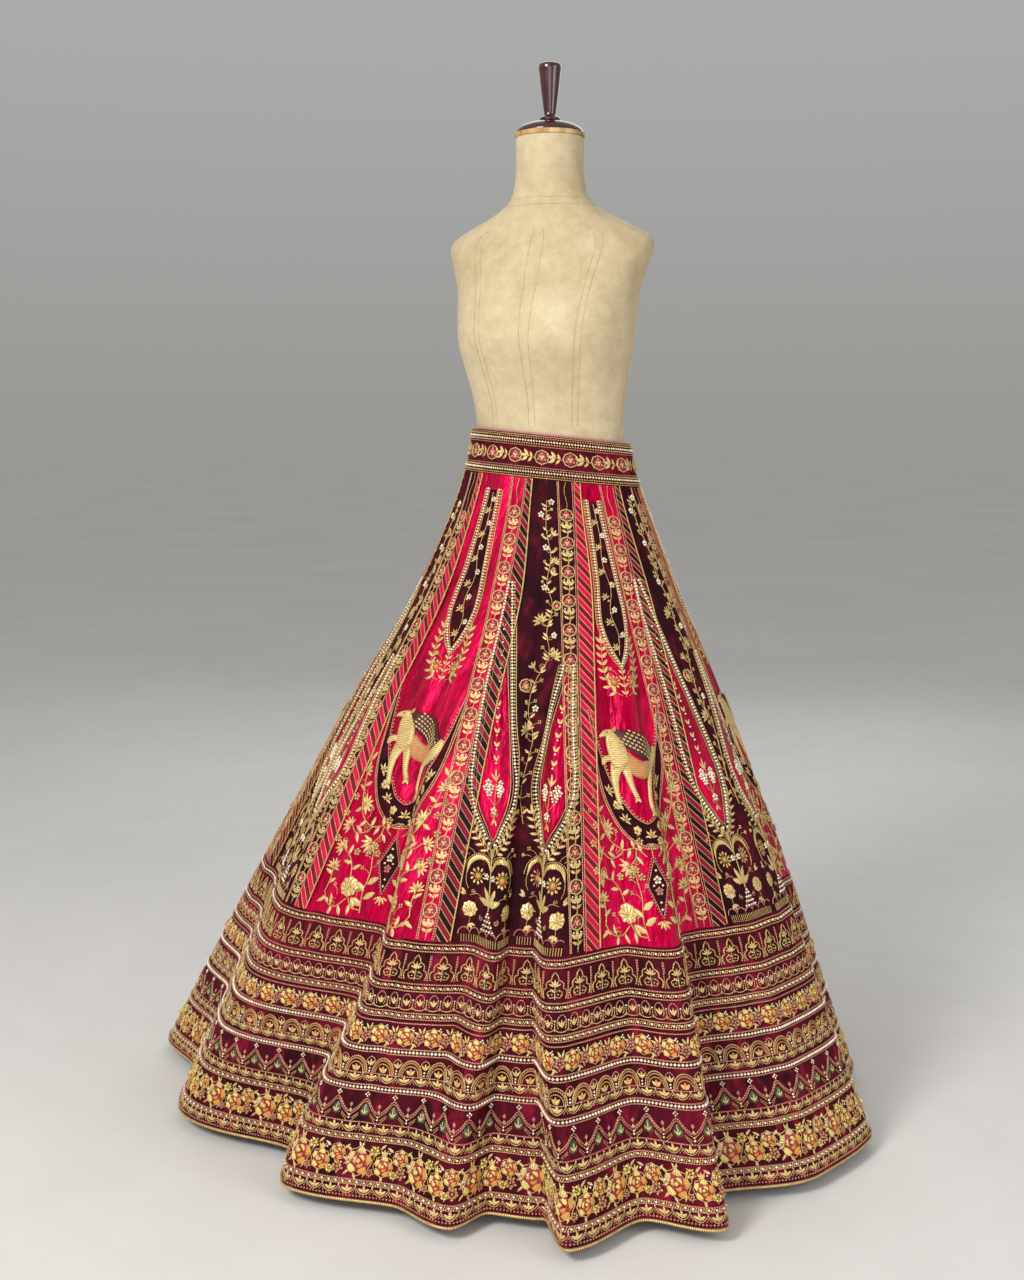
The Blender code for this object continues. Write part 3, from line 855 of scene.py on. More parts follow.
@dataclass
class Wiring:
    """Short words for wiring one shader tree."""

    tree: Tree

    def node(self, kind: str, **settings: object) -> Node:
        """A new node with some of its settings made."""
        made = self.tree.nodes.new(kind)
        for name, value in settings.items():
            setattr(made, name, value)
        return made

    def feed(self, socket: Socket, value: object) -> None:
        """Links a socket to another, or sets its value."""
        if isinstance(value, Socket):
            self.tree.links.new(value, socket)
        else:
            socket.default_value = value

    def maths(self, operation: str, first: object, second: object = 0.0) -> Socket:
        """One sum on one or two numbers."""
        made = self.node("ShaderNodeMath", operation=operation)
        self.feed(made.inputs[0], first)
        self.feed(made.inputs[1], second)
        return made.outputs[0]

    def noise(self, place: object, scale: float, detail: float = 3.0, rough: float = 0.5) -> Socket:
        """Soft noise from 0 to 1."""
        made = self.node("ShaderNodeTexNoise")
        self.feed(made.inputs["Vector"], place)
        made.inputs["Scale"].default_value = scale
        made.inputs["Detail"].default_value = detail
        made.inputs["Roughness"].default_value = rough
        return made.outputs[0]

    def ramp(self, value: object, *stops: tuple[float, Colour], step: bool = False) -> Socket:
        """A colour ramp through some stops."""
        made = self.node("ShaderNodeValToRGB")
        band = made.color_ramp
        band.interpolation = "CONSTANT" if step else "LINEAR"
        while len(band.elements) < len(stops):
            band.elements.new(1.0)
        for element, (place, colour) in zip(band.elements, stops):
            element.position, element.color = place, colour
        self.feed(made.inputs["Fac"], value)
        return made.outputs["Color"]

    def span(self, value: object, low: float, high: float, start: float = 0.0, end: float = 1.0) -> Socket:
        """A number moved from one span to another and held inside it."""
        made = self.node("ShaderNodeMapRange")
        self.feed(made.inputs["Value"], value)
        for name, number in (("From Min", low), ("From Max", high), ("To Min", start), ("To Max", end)):
            made.inputs[name].default_value = number
        return made.outputs["Result"]

    def mix(self, share: object, first: object, second: object, how: str = "MIX") -> Socket:
        """Two colours mixed."""
        made = self.node("ShaderNodeMix", data_type="RGBA", blend_type=how)
        self.feed(made.inputs[0], share)
        self.feed(made.inputs[6], first)
        self.feed(made.inputs[7], second)
        return made.outputs[2]

    def stretched(self, place: object, scale: tuple[float, float, float]) -> Socket:
        """A place scaled along each axis."""
        made = self.node("ShaderNodeMapping")
        self.feed(made.inputs["Vector"], place)
        made.inputs["Scale"].default_value = scale
        return made.outputs["Vector"]

    def flat_place(self) -> Socket:
        """The cloth's own flat place, in metres."""
        return self.node("ShaderNodeUVMap", uv_map="flat").outputs["UV"]

    def object_place(self) -> Socket:
        """The place in the object's own metres."""
        return self.node("ShaderNodeTexCoord").outputs["Object"]

    def number(self, name: str) -> Socket:
        """A number kept on the mesh."""
        return self.node("ShaderNodeAttribute", attribute_name=name).outputs["Fac"]

    def bump(self, height: object, strength: float, distance: float, under: object = None) -> Socket:
        """A bumped normal."""
        made = self.node("ShaderNodeBump")
        made.inputs["Strength"].default_value = strength
        made.inputs["Distance"].default_value = distance
        self.feed(made.inputs["Height"], height)
        if under is not None:
            self.feed(made.inputs["Normal"], under)
        return made.outputs["Normal"]


class SharedEffects:
    """The shader groups that more than one finish uses."""

    def __init__(self) -> None:
        """Builds each group once."""
        self.weave = self.make_weave()
        self.mottle = self.make_mottle()
        self.twist = self.make_twist()

    @staticmethod
    def begin(name: str, inputs: Iterable[tuple[str, str]], outputs: Iterable[tuple[str, str]]) -> tuple:
        """A new group with its sockets.

        Args:
            name: the group's name.
            inputs: names and socket kinds.
            outputs: names and socket kinds.

        Returns:
            The tree, its wiring, its input node and its output node.
        """
        tree = bpy.data.node_groups.new(name, "ShaderNodeTree")
        for label, kind in inputs:
            tree.interface.new_socket(label, in_out="INPUT", socket_type="NodeSocket" + kind)
        for label, kind in outputs:
            tree.interface.new_socket(label, in_out="OUTPUT", socket_type="NodeSocket" + kind)
        wire = Wiring(tree)
        return tree, wire, wire.node("NodeGroupInput"), wire.node("NodeGroupOutput")

    def make_weave(self) -> Tree:
        """Warp and weft as a height, at so many threads a metre."""
        tree, wire, enter, leave = self.begin(
            "plain weave", (("Place", "Vector"), ("Threads", "Float")), (("Height", "Float"),)
        )
        split = wire.node("ShaderNodeSeparateXYZ")
        wire.feed(split.inputs[0], enter.outputs["Place"])
        waves = []
        for axis in (0, 1):
            run = wire.maths("MULTIPLY", split.outputs[axis], enter.outputs["Threads"])
            waves.append(wire.maths("SINE", wire.maths("MULTIPLY", run, math.tau)))
        over = wire.maths("MULTIPLY", waves[0], waves[1])
        wire.feed(leave.inputs["Height"], wire.span(over, -1.0, 1.0))
        return tree

    def make_mottle(self) -> Tree:
        """A colour that drifts between a deep and a bright one in two sizes of patch."""
        tree, wire, enter, leave = self.begin(
            "dye drift",
            (("Place", "Vector"), ("Deep", "Color"), ("Bright", "Color")),
            (("Colour", "Color"), ("Drift", "Float")),
        )
        broad = wire.noise(enter.outputs["Place"], 5.0, 2.0)
        fine = wire.noise(enter.outputs["Place"], 46.0, 3.0, 0.6)
        both = wire.maths("ADD", wire.maths("MULTIPLY", broad, 0.6), wire.maths("MULTIPLY", fine, 0.4))
        drift = wire.span(both, 0.34, 0.66)
        wire.feed(leave.inputs["Colour"], wire.mix(drift, enter.outputs["Deep"], enter.outputs["Bright"]))
        wire.feed(leave.inputs["Drift"], drift)
        return tree

    def make_twist(self) -> Tree:
        """The plies of a laid thread from the distance along it, with painted shade in their grooves and soil in
        patches.
        """
        tree, wire, enter, leave = self.begin(
            "laid plies",
            (("Run", "Float"), ("Place", "Vector"), ("Turns", "Float"), ("Deep", "Color"), ("Bright", "Color")),
            (("Colour", "Color"), ("Height", "Float")),
        )
        turn = wire.maths("MULTIPLY", wire.maths("MULTIPLY", enter.outputs["Run"], enter.outputs["Turns"]), math.tau)
        ply = wire.span(wire.maths("SINE", turn), -1.0, 1.0)
        soil = wire.noise(enter.outputs["Place"], 120.0, 2.0)
        # Painted shade: the thread's colour darkens in the grooves between the plies; the soil noise adds random
        # darker patches.
        shade = wire.maths("MULTIPLY", wire.span(ply, 0.0, 0.8, 0.15, 1.0), wire.span(soil, 0.3, 0.7, 0.6, 1.0))
        wire.feed(leave.inputs["Colour"], wire.mix(shade, enter.outputs["Deep"], enter.outputs["Bright"]))
        wire.feed(leave.inputs["Height"], ply)
        return tree


@dataclass(frozen=True)
class Finish:
    """One procedural material: its colours and the constants on the shader's own sockets."""

    name: str
    deep: Colour
    bright: Colour
    roughness: float
    metallic: float = 0.0
    coat: float = 0.0
    sheen: float = 0.0
    sheen_tint: Colour = (1.0, 1.0, 1.0, 1.0)
    specular: float = 0.5
    specular_tint: Colour = (1.0, 1.0, 1.0, 1.0)

    def make(self, effects: SharedEffects) -> bpy.types.Material:
        """Builds the material.

        Args:
            effects: the shared groups.

        Returns:
            The material.
        """
        material = bpy.data.materials.new(self.name)
        material.use_nodes = True
        material.diffuse_color = self.bright
        wire = Wiring(material.node_tree)
        shader = material.node_tree.nodes["Principled BSDF"]
        for socket, value in (
            ("Roughness", self.roughness), ("Metallic", self.metallic),
            ("Coat Weight", self.coat), ("Coat Roughness", 0.12),
            ("Sheen Weight", self.sheen), ("Sheen Roughness", 0.45), ("Sheen Tint", self.sheen_tint),
            ("Specular IOR Level", self.specular), ("Specular Tint", self.specular_tint),
        ):
            shader.inputs[socket].default_value = value
        self.wire_up(wire, shader, effects)
        return material

    def drift(self, wire: Wiring, effects: SharedEffects, place: Socket) -> Node:
        """The drifting colour group, set to this finish's own two colours."""
        group = wire.node("ShaderNodeGroup", node_tree=effects.mottle)
        wire.feed(group.inputs["Place"], place)
        group.inputs["Deep"].default_value = self.deep
        group.inputs["Bright"].default_value = self.bright
        return group

    def wire_up(self, wire: Wiring, shader: Node, effects: SharedEffects) -> None:
        """Adds the nodes that vary over the surface; each kind of finish has its own."""
        raise NotImplementedError


@dataclass(frozen=True)
class SatinFinish(Finish):
    """Crushed satin, its sheen broken into upright streaks of gloss with painted highlights, and painted shade in its
    crushes and folds.
    """

    def wire_up(self, wire: Wiring, shader: Node, effects: SharedEffects) -> None:
        """Streaks along the grain in gloss and height, with painted highlights in the colour, and painted shade in
        the troughs of the crush and folds.
        """
        flat = wire.flat_place()
        drift = self.drift(wire, effects, wire.stretched(flat, (3.4, 0.9, 1.0)))
        streaks = wire.noise(wire.stretched(flat, (210.0, 16.0, 1.0)), 1.0, 4.0, 0.62)
        crush = wire.noise(wire.stretched(flat, (58.0, 15.0, 1.0)), 1.0, 3.0, 0.6)
        # Painted highlight: a bright pink is mixed into the colour along the streaks.
        painted_shine = wire.mix(wire.span(streaks, 0.48, 0.7, 0.0, 0.4), drift.outputs["Colour"], dye(238, 8, 78))
        # Painted shade: the colour darkens in the troughs of the crush.
        shade = wire.mix(wire.span(crush, 0.5, 0.32, 0.0, 0.8), painted_shine, dye(96, 0, 20))
        folds = wire.noise(wire.stretched(flat, (26.0, 4.5, 1.0)), 1.0, 2.0, 0.5)
        # Painted shade: the colour darkens in the troughs of the broad folds.
        wire.feed(shader.inputs["Base Color"], wire.mix(wire.span(folds, 0.5, 0.36, 0.0, 0.62), shade,
                                                        dye(104, 0, 20)))
        wire.feed(shader.inputs["Roughness"], wire.span(streaks, 0.3, 0.7, self.roughness - 0.08,
                                                        self.roughness + 0.12))
        soft = wire.bump(crush, 0.75, 0.0065, wire.bump(folds, 0.9, 0.014))
        wire.feed(shader.inputs["Normal"], wire.bump(streaks, 0.3, 0.0016, soft))


@dataclass(frozen=True)
class VelvetFinish(Finish):
    """Velvet, whose pile lies in slightly different directions, with the sheen of its brushed patches painted into
    its colour.
    """

    def wire_up(self, wire: Wiring, shader: Node, effects: SharedEffects) -> None:
        """Brushed patches, bumped and with painted sheen in the colour, and a fine nap."""
        place = wire.object_place()
        drift = self.drift(wire, effects, wire.stretched(place, (2.0, 2.0, 0.9)))
        nap = wire.noise(place, 900.0, 2.0, 0.6)
        brushed_pile_and_sheen = wire.noise(wire.stretched(place, (1.0, 1.0, 0.35)), 34.0, 4.0, 0.6)
        # Painted sheen: the colour is mixed towards the sheen tint on the brushed patches.
        colour = wire.mix(wire.span(brushed_pile_and_sheen, 0.52, 0.68, 0.0, 0.55), drift.outputs["Colour"], self.sheen_tint)
        wire.feed(shader.inputs["Base Color"], colour)
        wire.feed(shader.inputs["Normal"], wire.bump(nap, 0.35, 0.0006, wire.bump(brushed_pile_and_sheen, 0.25, 0.003)))


@dataclass(frozen=True)
class StripedFinish(Finish):
    """Slanting stripes woven across a narrow band, with thin tinsel between them."""

    period: float = 0.024
    slant: float = 1.15
    third: Colour = (0.0, 0.0, 0.0, 1.0)

    def wire_up(self, wire: Wiring, shader: Node, effects: SharedEffects) -> None:
        """A chart of stripes repeated down the band."""
        split = wire.node("ShaderNodeSeparateXYZ")
        wire.feed(split.inputs[0], wire.flat_place())
        across = wire.maths("MULTIPLY", split.outputs[0], self.slant / self.period)
        run = wire.maths("ADD", wire.maths("MULTIPLY", split.outputs[1], 1.0 / self.period), across)
        repeat = wire.maths("FRACT", run)
        tinsel = dye(196, 150, 96)
        chart = wire.ramp(
            repeat, (0.0, tinsel), (0.05, self.bright), (0.46, tinsel), (0.54, self.deep), (0.96, tinsel), step=True
        )
        wear = wire.noise(wire.object_place(), 260.0, 3.0, 0.6)
        wire.feed(shader.inputs["Base Color"], wire.mix(wire.span(wear, 0.45, 0.75, 0.0, 0.35), chart, self.third))
        ridge = wire.maths("SINE", wire.maths("MULTIPLY", run, 6.0 * math.tau))
        wire.feed(shader.inputs["Normal"], wire.bump(ridge, 0.3, 0.0008))


@dataclass(frozen=True)
class ThreadFinish(Finish):
    """Metal or silk thread, laid in plies."""

    turns: float = 420.0

    def wire_up(self, wire: Wiring, shader: Node, effects: SharedEffects) -> None:
        """Plies along each thread, with painted shade in their grooves, and a little soil in patches."""
        group = wire.node("ShaderNodeGroup", node_tree=effects.twist)
        wire.feed(group.inputs["Run"], wire.number("run"))
        wire.feed(group.inputs["Place"], wire.object_place())
        group.inputs["Turns"].default_value = self.turns
        group.inputs["Deep"].default_value = self.deep
        group.inputs["Bright"].default_value = self.bright
        # The colour carries painted shade in the grooves between the plies.
        wire.feed(shader.inputs["Base Color"], group.outputs["Colour"])
        wire.feed(shader.inputs["Normal"], wire.bump(group.outputs["Height"], 0.35, 0.0005))


@dataclass(frozen=True)
class PearlFinish(Finish):
    """Small pearls and stones, no two quite alike."""

    def wire_up(self, wire: Wiring, shader: Node, effects: SharedEffects) -> None:
        """A tone that changes from bead to bead."""
        tone = wire.noise(wire.object_place(), 210.0, 1.0)
        wire.feed(shader.inputs["Base Color"], wire.mix(wire.span(tone, 0.35, 0.65), self.deep, self.bright))
        wire.feed(shader.inputs["Roughness"], wire.span(tone, 0.3, 0.7, self.roughness, self.roughness + 0.15))


@dataclass(frozen=True)
class CalicoFinish(Finish):
    """Plain woven calico, padded and a little aged."""

    def wire_up(self, wire: Wiring, shader: Node, effects: SharedEffects) -> None:
        """A plain weave over drifting cream."""
        place = wire.object_place()
        drift = self.drift(wire, effects, place)
        weave = wire.node("ShaderNodeGroup", node_tree=effects.weave)
        wire.feed(weave.inputs["Place"], wire.flat_place())
        weave.inputs["Threads"].default_value = 700.0
        slub = wire.noise(place, 380.0, 3.0, 0.6)
        wire.feed(shader.inputs["Base Color"], wire.mix(wire.span(slub, 0.4, 0.7, 0.0, 0.3), drift.outputs["Colour"],
                                                        self.deep))
        soft = wire.bump(wire.noise(place, 26.0, 2.0), 0.25, 0.003)
        wire.feed(shader.inputs["Normal"], wire.bump(weave.outputs["Height"], 0.3, 0.0003, soft))


@dataclass(frozen=True)
class WoodFinish(Finish):
    """Polished or worn wood, its rings round the turning's axis."""

    wear: float = 0.0
    grain: float = 30.0

    def wire_up(self, wire: Wiring, shader: Node, effects: SharedEffects) -> None:
        """Rings broken by noise, and rubbed patches."""
        place = wire.object_place()
        drift = self.drift(wire, effects, place)
        warp = wire.noise(wire.stretched(place, (1.0, 1.0, 0.15)), self.grain, 4.0, 0.6)
        rings = wire.noise(wire.stretched(place, (260.0, 260.0, 12.0)), 1.0, 3.0, 0.6)
        mixed = wire.mix(wire.span(rings, 0.42, 0.62, 0.0, 0.6), drift.outputs["Colour"], self.deep)
        rubbed = wire.span(warp, 0.5, 0.66, 0.0, self.wear)
        wire.feed(shader.inputs["Base Color"], wire.mix(rubbed, mixed, self.sheen_tint))
        wire.feed(shader.inputs["Roughness"], wire.span(warp, 0.35, 0.7, self.roughness, self.roughness + 0.18))
        wire.feed(shader.inputs["Normal"], wire.bump(rings, 0.15, 0.0006))


@dataclass(frozen=True)
class MetalFinish(Finish):
    """Dark painted metal with fine scratches."""

    def wire_up(self, wire: Wiring, shader: Node, effects: SharedEffects) -> None:
        """Scratches and dull patches."""
        place = wire.object_place()
        drift = self.drift(wire, effects, place)
        scratch = wire.noise(wire.stretched(place, (300.0, 300.0, 20.0)), 1.0, 3.0, 0.7)
        wire.feed(shader.inputs["Base Color"], drift.outputs["Colour"])
        wire.feed(shader.inputs["Roughness"], wire.span(scratch, 0.3, 0.7, self.roughness - 0.1,
                                                        self.roughness + 0.15))
        wire.feed(shader.inputs["Normal"], wire.bump(scratch, 0.12, 0.0004))


@dataclass(frozen=True)
class FloorFinish(Finish):
    """The plain pale floor."""

    def wire_up(self, wire: Wiring, shader: Node, effects: SharedEffects) -> None:
        """A barely uneven tone."""
        drift = self.drift(wire, effects, wire.stretched(wire.object_place(), (0.2, 0.2, 0.2)))
        wire.feed(shader.inputs["Base Color"], drift.outputs["Colour"])


class Wardrobe:
    """Every finish of the skirt and the form, made once."""

    CLOTHS = {
        "satin": SatinFinish(
            "pink_satin", dye(132, 0, 32), dye(212, 0, 68), 0.27, specular=0.75, specular_tint=dye(255, 50, 110)
        ),
        "velvet": VelvetFinish(
            "dark_velvet", dye(24, 2, 8), dye(58, 5, 20), 0.8, sheen=0.3, sheen_tint=dye(112, 16, 40), specular=0.12
        ),
        "border": VelvetFinish(
            "maroon_velvet", dye(24, 2, 7), dye(94, 7, 31), 0.78, sheen=0.42, sheen_tint=dye(160, 24, 56),
            specular=0.12
        ),
        "dark_stripes": StripedFinish(
            "dark_striped_band", dye(18, 2, 8), dye(132, 14, 44), 0.62, third=dye(60, 6, 22), specular=0.15
        ),
        "pink_stripes": StripedFinish(
            "pink_striped_band", dye(118, 2, 32), dye(208, 4, 68), 0.52, third=dye(150, 4, 44), specular=0.15
        ),
        "rose": ThreadFinish("rose_piping", dye(138, 70, 84), dye(206, 140, 146), 0.42, sheen=0.3, turns=240.0),
        "calico": CalicoFinish("cream_cloth", dye(176, 156, 118), dye(212, 196, 160), 0.82, sheen=0.15),
        "mahogany": WoodFinish(
            "mahogany", dye(34, 10, 14), dye(78, 26, 30), 0.16, coat=0.7, sheen_tint=dye(110, 50, 44), wear=0.2
        ),
        "worn_wood": WoodFinish(
            "worn_wood", dye(140, 96, 48), dye(206, 164, 96), 0.42, coat=0.2, sheen_tint=dye(226, 198, 148), wear=0.7
        ),
        "metal": MetalFinish("stand_metal", dye(44, 42, 40), dye(66, 63, 60), 0.42, metallic=0.8),
        "floor": FloorFinish("pale_floor", dye(216, 214, 210), dye(224, 222, 219), 0.75),
    }
    YARNS = {
        GOLD: ThreadFinish("gold_thread", dye(120, 80, 34), dye(248, 212, 136), 0.34, metallic=0.35, turns=330.0),
        IVORY: ThreadFinish("ivory_thread", dye(150, 116, 60), dye(242, 216, 146), 0.36, metallic=0.2),
        ROSE_GOLD: ThreadFinish("rose_gold_thread", dye(110, 48, 42), dye(236, 168, 134), 0.36, metallic=0.25,
                                turns=270.0),
        PEARL: PearlFinish("pearls", dye(232, 214, 172), dye(255, 250, 232), 0.24, coat=0.3),
        YELLOW: ThreadFinish("yellow_silk", dye(168, 104, 26), dye(230, 168, 62), 0.5),
        LEMON: ThreadFinish("lemon_silk", dye(186, 158, 60), dye(246, 228, 136), 0.5),
        CRIMSON: ThreadFinish("crimson_silk", dye(96, 4, 20), dye(176, 18, 44), 0.5, sheen=0.3),
        GREEN: PearlFinish("green_stones", dye(20, 44, 20), dye(58, 86, 42), 0.3, coat=0.1),
        CREAM: ThreadFinish("cream_silk", dye(158, 124, 66), dye(238, 214, 146), 0.45, metallic=0.15, turns=300.0),
        TAN: ThreadFinish("tan_silk", dye(150, 92, 44), dye(206, 148, 84), 0.5, sheen=0.3, turns=300.0),
        BROWN: ThreadFinish("brown_silk", dye(40, 8, 10), dye(84, 22, 22), 0.6, turns=300.0),
        PINK: ThreadFinish("pink_silk", dye(150, 66, 74), dye(222, 140, 134), 0.5, sheen=0.2),
        DARK: ThreadFinish("dark_silk", dye(20, 3, 10), dye(44, 8, 20), 0.5, sheen=0.3),
    }

    def __init__(self) -> None:
        """Makes the shared groups and all the materials."""
        effects = SharedEffects()
        self.made = {key: finish.make(effects) for key, finish in {**self.CLOTHS, **self.YARNS}.items()}

    def __getitem__(self, key: object) -> bpy.types.Material:
        """The material of one finish."""
        return self.made[key]

    def dress(self, piece: Piece, key: object) -> None:
        """Puts one finish on a whole piece."""
        piece.data.materials.clear()
        piece.data.materials.append(self[key])

    def dress_node(self, piece: Piece, key: object) -> None:
        """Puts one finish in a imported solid's own slots."""
        for entry in piece.material_slots:
            entry.material = self[key]


# ---- the skirt's cloth --------------------------------------------------------------------------

@dataclass
class Measures:
    """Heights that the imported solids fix, in metres."""

    waist_top: float
    waist_seam: float
    waist_dip: float
    border_top: float
    upper_seam: float
    middle_seam: float
    hem: float

    @classmethod
    def from_frame(cls) -> "Measures":
        """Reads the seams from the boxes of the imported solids."""
        band_low, band_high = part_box("waistband")
        dip = 0.014
        return cls(
            waist_top=band_high[2] - dip,
            waist_seam=band_low[2] + dip,
            waist_dip=dip,
            border_top=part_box("border_upper_1")[1][2],
            upper_seam=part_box("border_upper_1")[0][2],
            middle_seam=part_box("border_middle_1")[0][2],
            hem=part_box("border_lower_1")[0][2],
        )


@dataclass
class Kali:
    """One gore of the skirt, its striped band and its place on the drape."""

    number: int
    drape: Drape
    wall: float = 0.0022
    band_wall: float = 0.0014
    band: float = 0.025
    band_at_waist: float = 0.011
    strip: float = 0.026
    columns: int = 34
    rows: int = 48
    flat: KaliMap = field(init=False)

    GAP = 0.0002

    def __post_init__(self) -> None:
        """Maps the kali."""
        self.flat = KaliMap(self.drape, self.number, self.band_width, self.strip)

    @property
    def cloth(self) -> Cloth:
        """What it is cut from."""
        return KALIS[self.number][0]

    @property
    def name(self) -> str:
        """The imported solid's name."""
        return f"kali_{self.number + 1:02d}_{self.cloth.value}"

    def band_width(self, share: float) -> float:
        """The striped band's width at a share of the way down."""
        grown = min(1.0, share / 0.3)
        return self.band_at_waist + (self.band - self.band_at_waist) * grown * grown * (3.0 - 2.0 * grown)

    def grid(self, left: Callable[[int], float], right: Callable[[int], float], columns: int) -> tuple:
        """Flat places between two edges.

        Args:
            left: metres from the left seam at a row.
            right: the same for the other edge.
            columns: faces across.

        Returns:
            Angles, heights and flat places, one row of the grid a row.
        """
        ups = np.linspace(self.flat.length, 0.0, self.rows)
        rows = np.interp(ups, self.flat.up[::-1], np.arange(self.flat.ROWS)[::-1].astype(float))
        shares = np.linspace(0.0, 1.0, columns + 1)
        x = np.array([left(r) + (right(r) - left(r)) * shares for r in rows])
        y = np.repeat(ups[:, None], columns + 1, axis=1)
        angle, height = self.flat.locate(x, y, Edge.LEFT)
        return angle, height, side_by_side(x, y)

    def width_at(self, row: float) -> float:
        """The kali's width at a row of its map."""
        return float(np.interp(row, np.arange(self.flat.ROWS), self.flat.widths))

    def build_panel(self, wardrobe: Wardrobe) -> Piece:
        """The cloth of the kali."""
        angle, height, flat = self.grid(lambda r: 0.0, self.width_at, self.columns)
        outer = self.drape.lay(angle, height, self.wall)
        inner = self.drape.lay(angle, height, 0.0)
        piece = shell(f"{self.name}_cloth", outer, inner, flat)
        wardrobe.dress(piece, self.cloth.value)
        return settle(piece, "pink_satin" if self.cloth is Cloth.SATIN else "dark_velvet", self.name)

    def build_band(self, wardrobe: Wardrobe) -> Piece:
        """The striped band over the left seam."""
        def right(row: float) -> float:
            """The band's right edge."""
            return self.band_width(row / (self.flat.ROWS - 1))

        angle, height, flat = self.grid(lambda r: 0.0, right, 6)
        low, high = self.wall + self.GAP, self.wall + self.GAP + self.band_wall
        piece = shell(
            f"striped_band_{self.number + 1:02d}_cloth",
            self.drape.lay(angle, height, high), self.drape.lay(angle, height, low), flat,
        )
        wardrobe.dress(piece, "pink_stripes" if self.cloth is Cloth.SATIN else "dark_stripes")
        return settle(piece, "striped_band", f"striped_band_{self.number + 1:02d}")

    def declare(self, panel: Piece, band: Piece, work: Piece) -> None:
        """Logs the kali's width at the waist and at the border, and its length."""
        top, bottom = float(self.flat.widths[0]), float(self.flat.widths[-1])
        area = float(np.trapz(self.flat.widths[::-1], self.flat.up[::-1]))
        LOG.info("%s: %.3f m at the waist, %.3f m at the border, %.3f m long", self.name, top, bottom,
                 self.flat.length)


@dataclass
class Tier:
    """One tier of the velvet border, joined from four lengths; its fall is height over slant."""

    name: str
    top: float
    bottom: float
    drape: Drape
    wall: float = 0.0022
    columns: int = 660
    rows: int = 8

    FALL = 0.925

    def build(self, wardrobe: Wardrobe) -> Piece:
        """The tier as one closed ring of cloth."""
        middle = (self.top + self.bottom) / 2
        angles, lengths = self.drape.arc(-180.0, 180.0, middle, ARC_STEPS)
        even = np.interp(np.linspace(0.0, lengths[-1], self.columns + 1)[:-1], lengths, angles)
        heights = np.linspace(self.top, self.bottom, self.rows)
        angle, height = np.meshgrid(even, heights)
        outer = self.drape.lay(angle, height, self.wall)
        inner = self.drape.lay(angle, height, 0.0)
        flat = side_by_side(np.broadcast_to(np.linspace(0, lengths[-1], self.columns), angle.shape), height)
        piece = shell(f"{self.name}_cloth", outer, inner, flat, ring=True)
        wardrobe.dress(piece, "border")
        settle(piece, "maroon_velvet", *[f"{self.name}_{length + 1}" for length in range(4)])
        self.flat_size = (round(float(lengths[-1]), 3), round((self.top - self.bottom) / self.FALL, 3))
        LOG.info("%s: %.3f m round", self.name, lengths[-1])
        return piece

    def declare(self, cloth: Piece, above: Sequence[str], work: Sequence[Piece]) -> None:
        """Goes through the lists it is given and does nothing with them."""
        list(above)
        list(work)


@dataclass
class Waistband:
    """The velvet waistband and its piped edge."""

    drape: Drape
    top: float
    bottom: float
    wall: float = 0.003
    piping: float = 0.0042
    columns: int = 192

    MEAN_RADIUS = 0.125

    def place(self, angle: Array, height: Array, lift: float) -> Array:
        """Points of the band, which dips with the waist."""
        return self.drape.lay(angle, self.drape.waist_height(angle, height), lift)

    def build(self, wardrobe: Wardrobe) -> Piece:
        """The band, its edges rounded in."""
        angles = np.linspace(-180.0, 180.0, self.columns + 1)[:-1]
        shares = np.array([0.0, 0.02, 0.08, 0.2, 0.35, 0.5, 0.65, 0.8, 0.92, 0.98, 1.0])
        heights = self.top + (self.bottom - self.top) * shares
        angle, height = np.meshgrid(angles, heights)
        edge = np.minimum(shares, 1.0 - shares)
        lift = self.wall * (0.55 + 0.45 * ease(edge / 0.08))
        outer = self.drape.lay(angle, self.drape.waist_height(angle, height), lift[:, None])
        inner = self.place(angle, height, 0.0)
        around = np.radians(angle) * self.MEAN_RADIUS
        piece = shell("waistband_cloth", outer, inner, side_by_side(around, height), ring=True)
        wardrobe.dress(piece, "border")
        return settle(piece, "maroon_velvet", "waistband")

    def build_piping(self, threads: ThreadRecipe, wardrobe: Wardrobe) -> Piece:
        """The round corded edge above the band."""
        angles = np.linspace(-180.0, 180.0, 289)[:-1]
        middle = self.top + 0.0003 + self.piping / 2
        points = self.place(angles, np.full(len(angles), middle), self.piping / 2 - 0.0004)
        seed = thread_seed("waist_piping", [(points, self.piping / 2, True)])
        piece = threads.grow("waist_piping_cord", seed, sides=6, finish=wardrobe["rose"])
        return settle(piece, "rose_piping", "waist_piping")

    def declare(self, cloth: Piece, with_pieces: Sequence[Piece]) -> None:
        """Logs how far the band goes round at its middle."""
        middle = (self.top + self.bottom) / 2
        _, lengths = self.drape.arc(-180.0, 180.0, middle, 721)
        list(with_pieces)
        LOG.info("waistband: %.3f m round", lengths[-1])


@dataclass
class HemPiping:
    """The round corded edge just below the lowest tier."""

    drape: Drape
    hem: float
    piping: float = 0.0042

    def build(self, threads: ThreadRecipe, wardrobe: Wardrobe) -> Piece:
        """One long cord round the hem."""
        count = 1440
        middle = self.hem - 0.0003 - self.piping / 2
        angles, lengths = self.drape.arc(-180.0, 180.0, middle, ARC_STEPS)
        even = np.interp(np.linspace(0.0, lengths[-1], count + 1)[:-1], lengths, angles)
        points = self.drape.lay(even, np.full(count, middle), 0.0011)
        seed = thread_seed("hem_piping", [(points, self.piping / 2, True)])
        piece = threads.grow("hem_piping_cord", seed, sides=5, finish=wardrobe[GOLD])
        return settle(piece, "gold_cord", "hem_piping")


# ---- the dress form -----------------------------------------------------------------------------

@dataclass(frozen=True)
class FormSection:
    """One section of the dress form; square is 2 for an oval and more for a squarer one."""

    height: float
    half_width: float
    half_depth: float
    ahead: float
    square: float


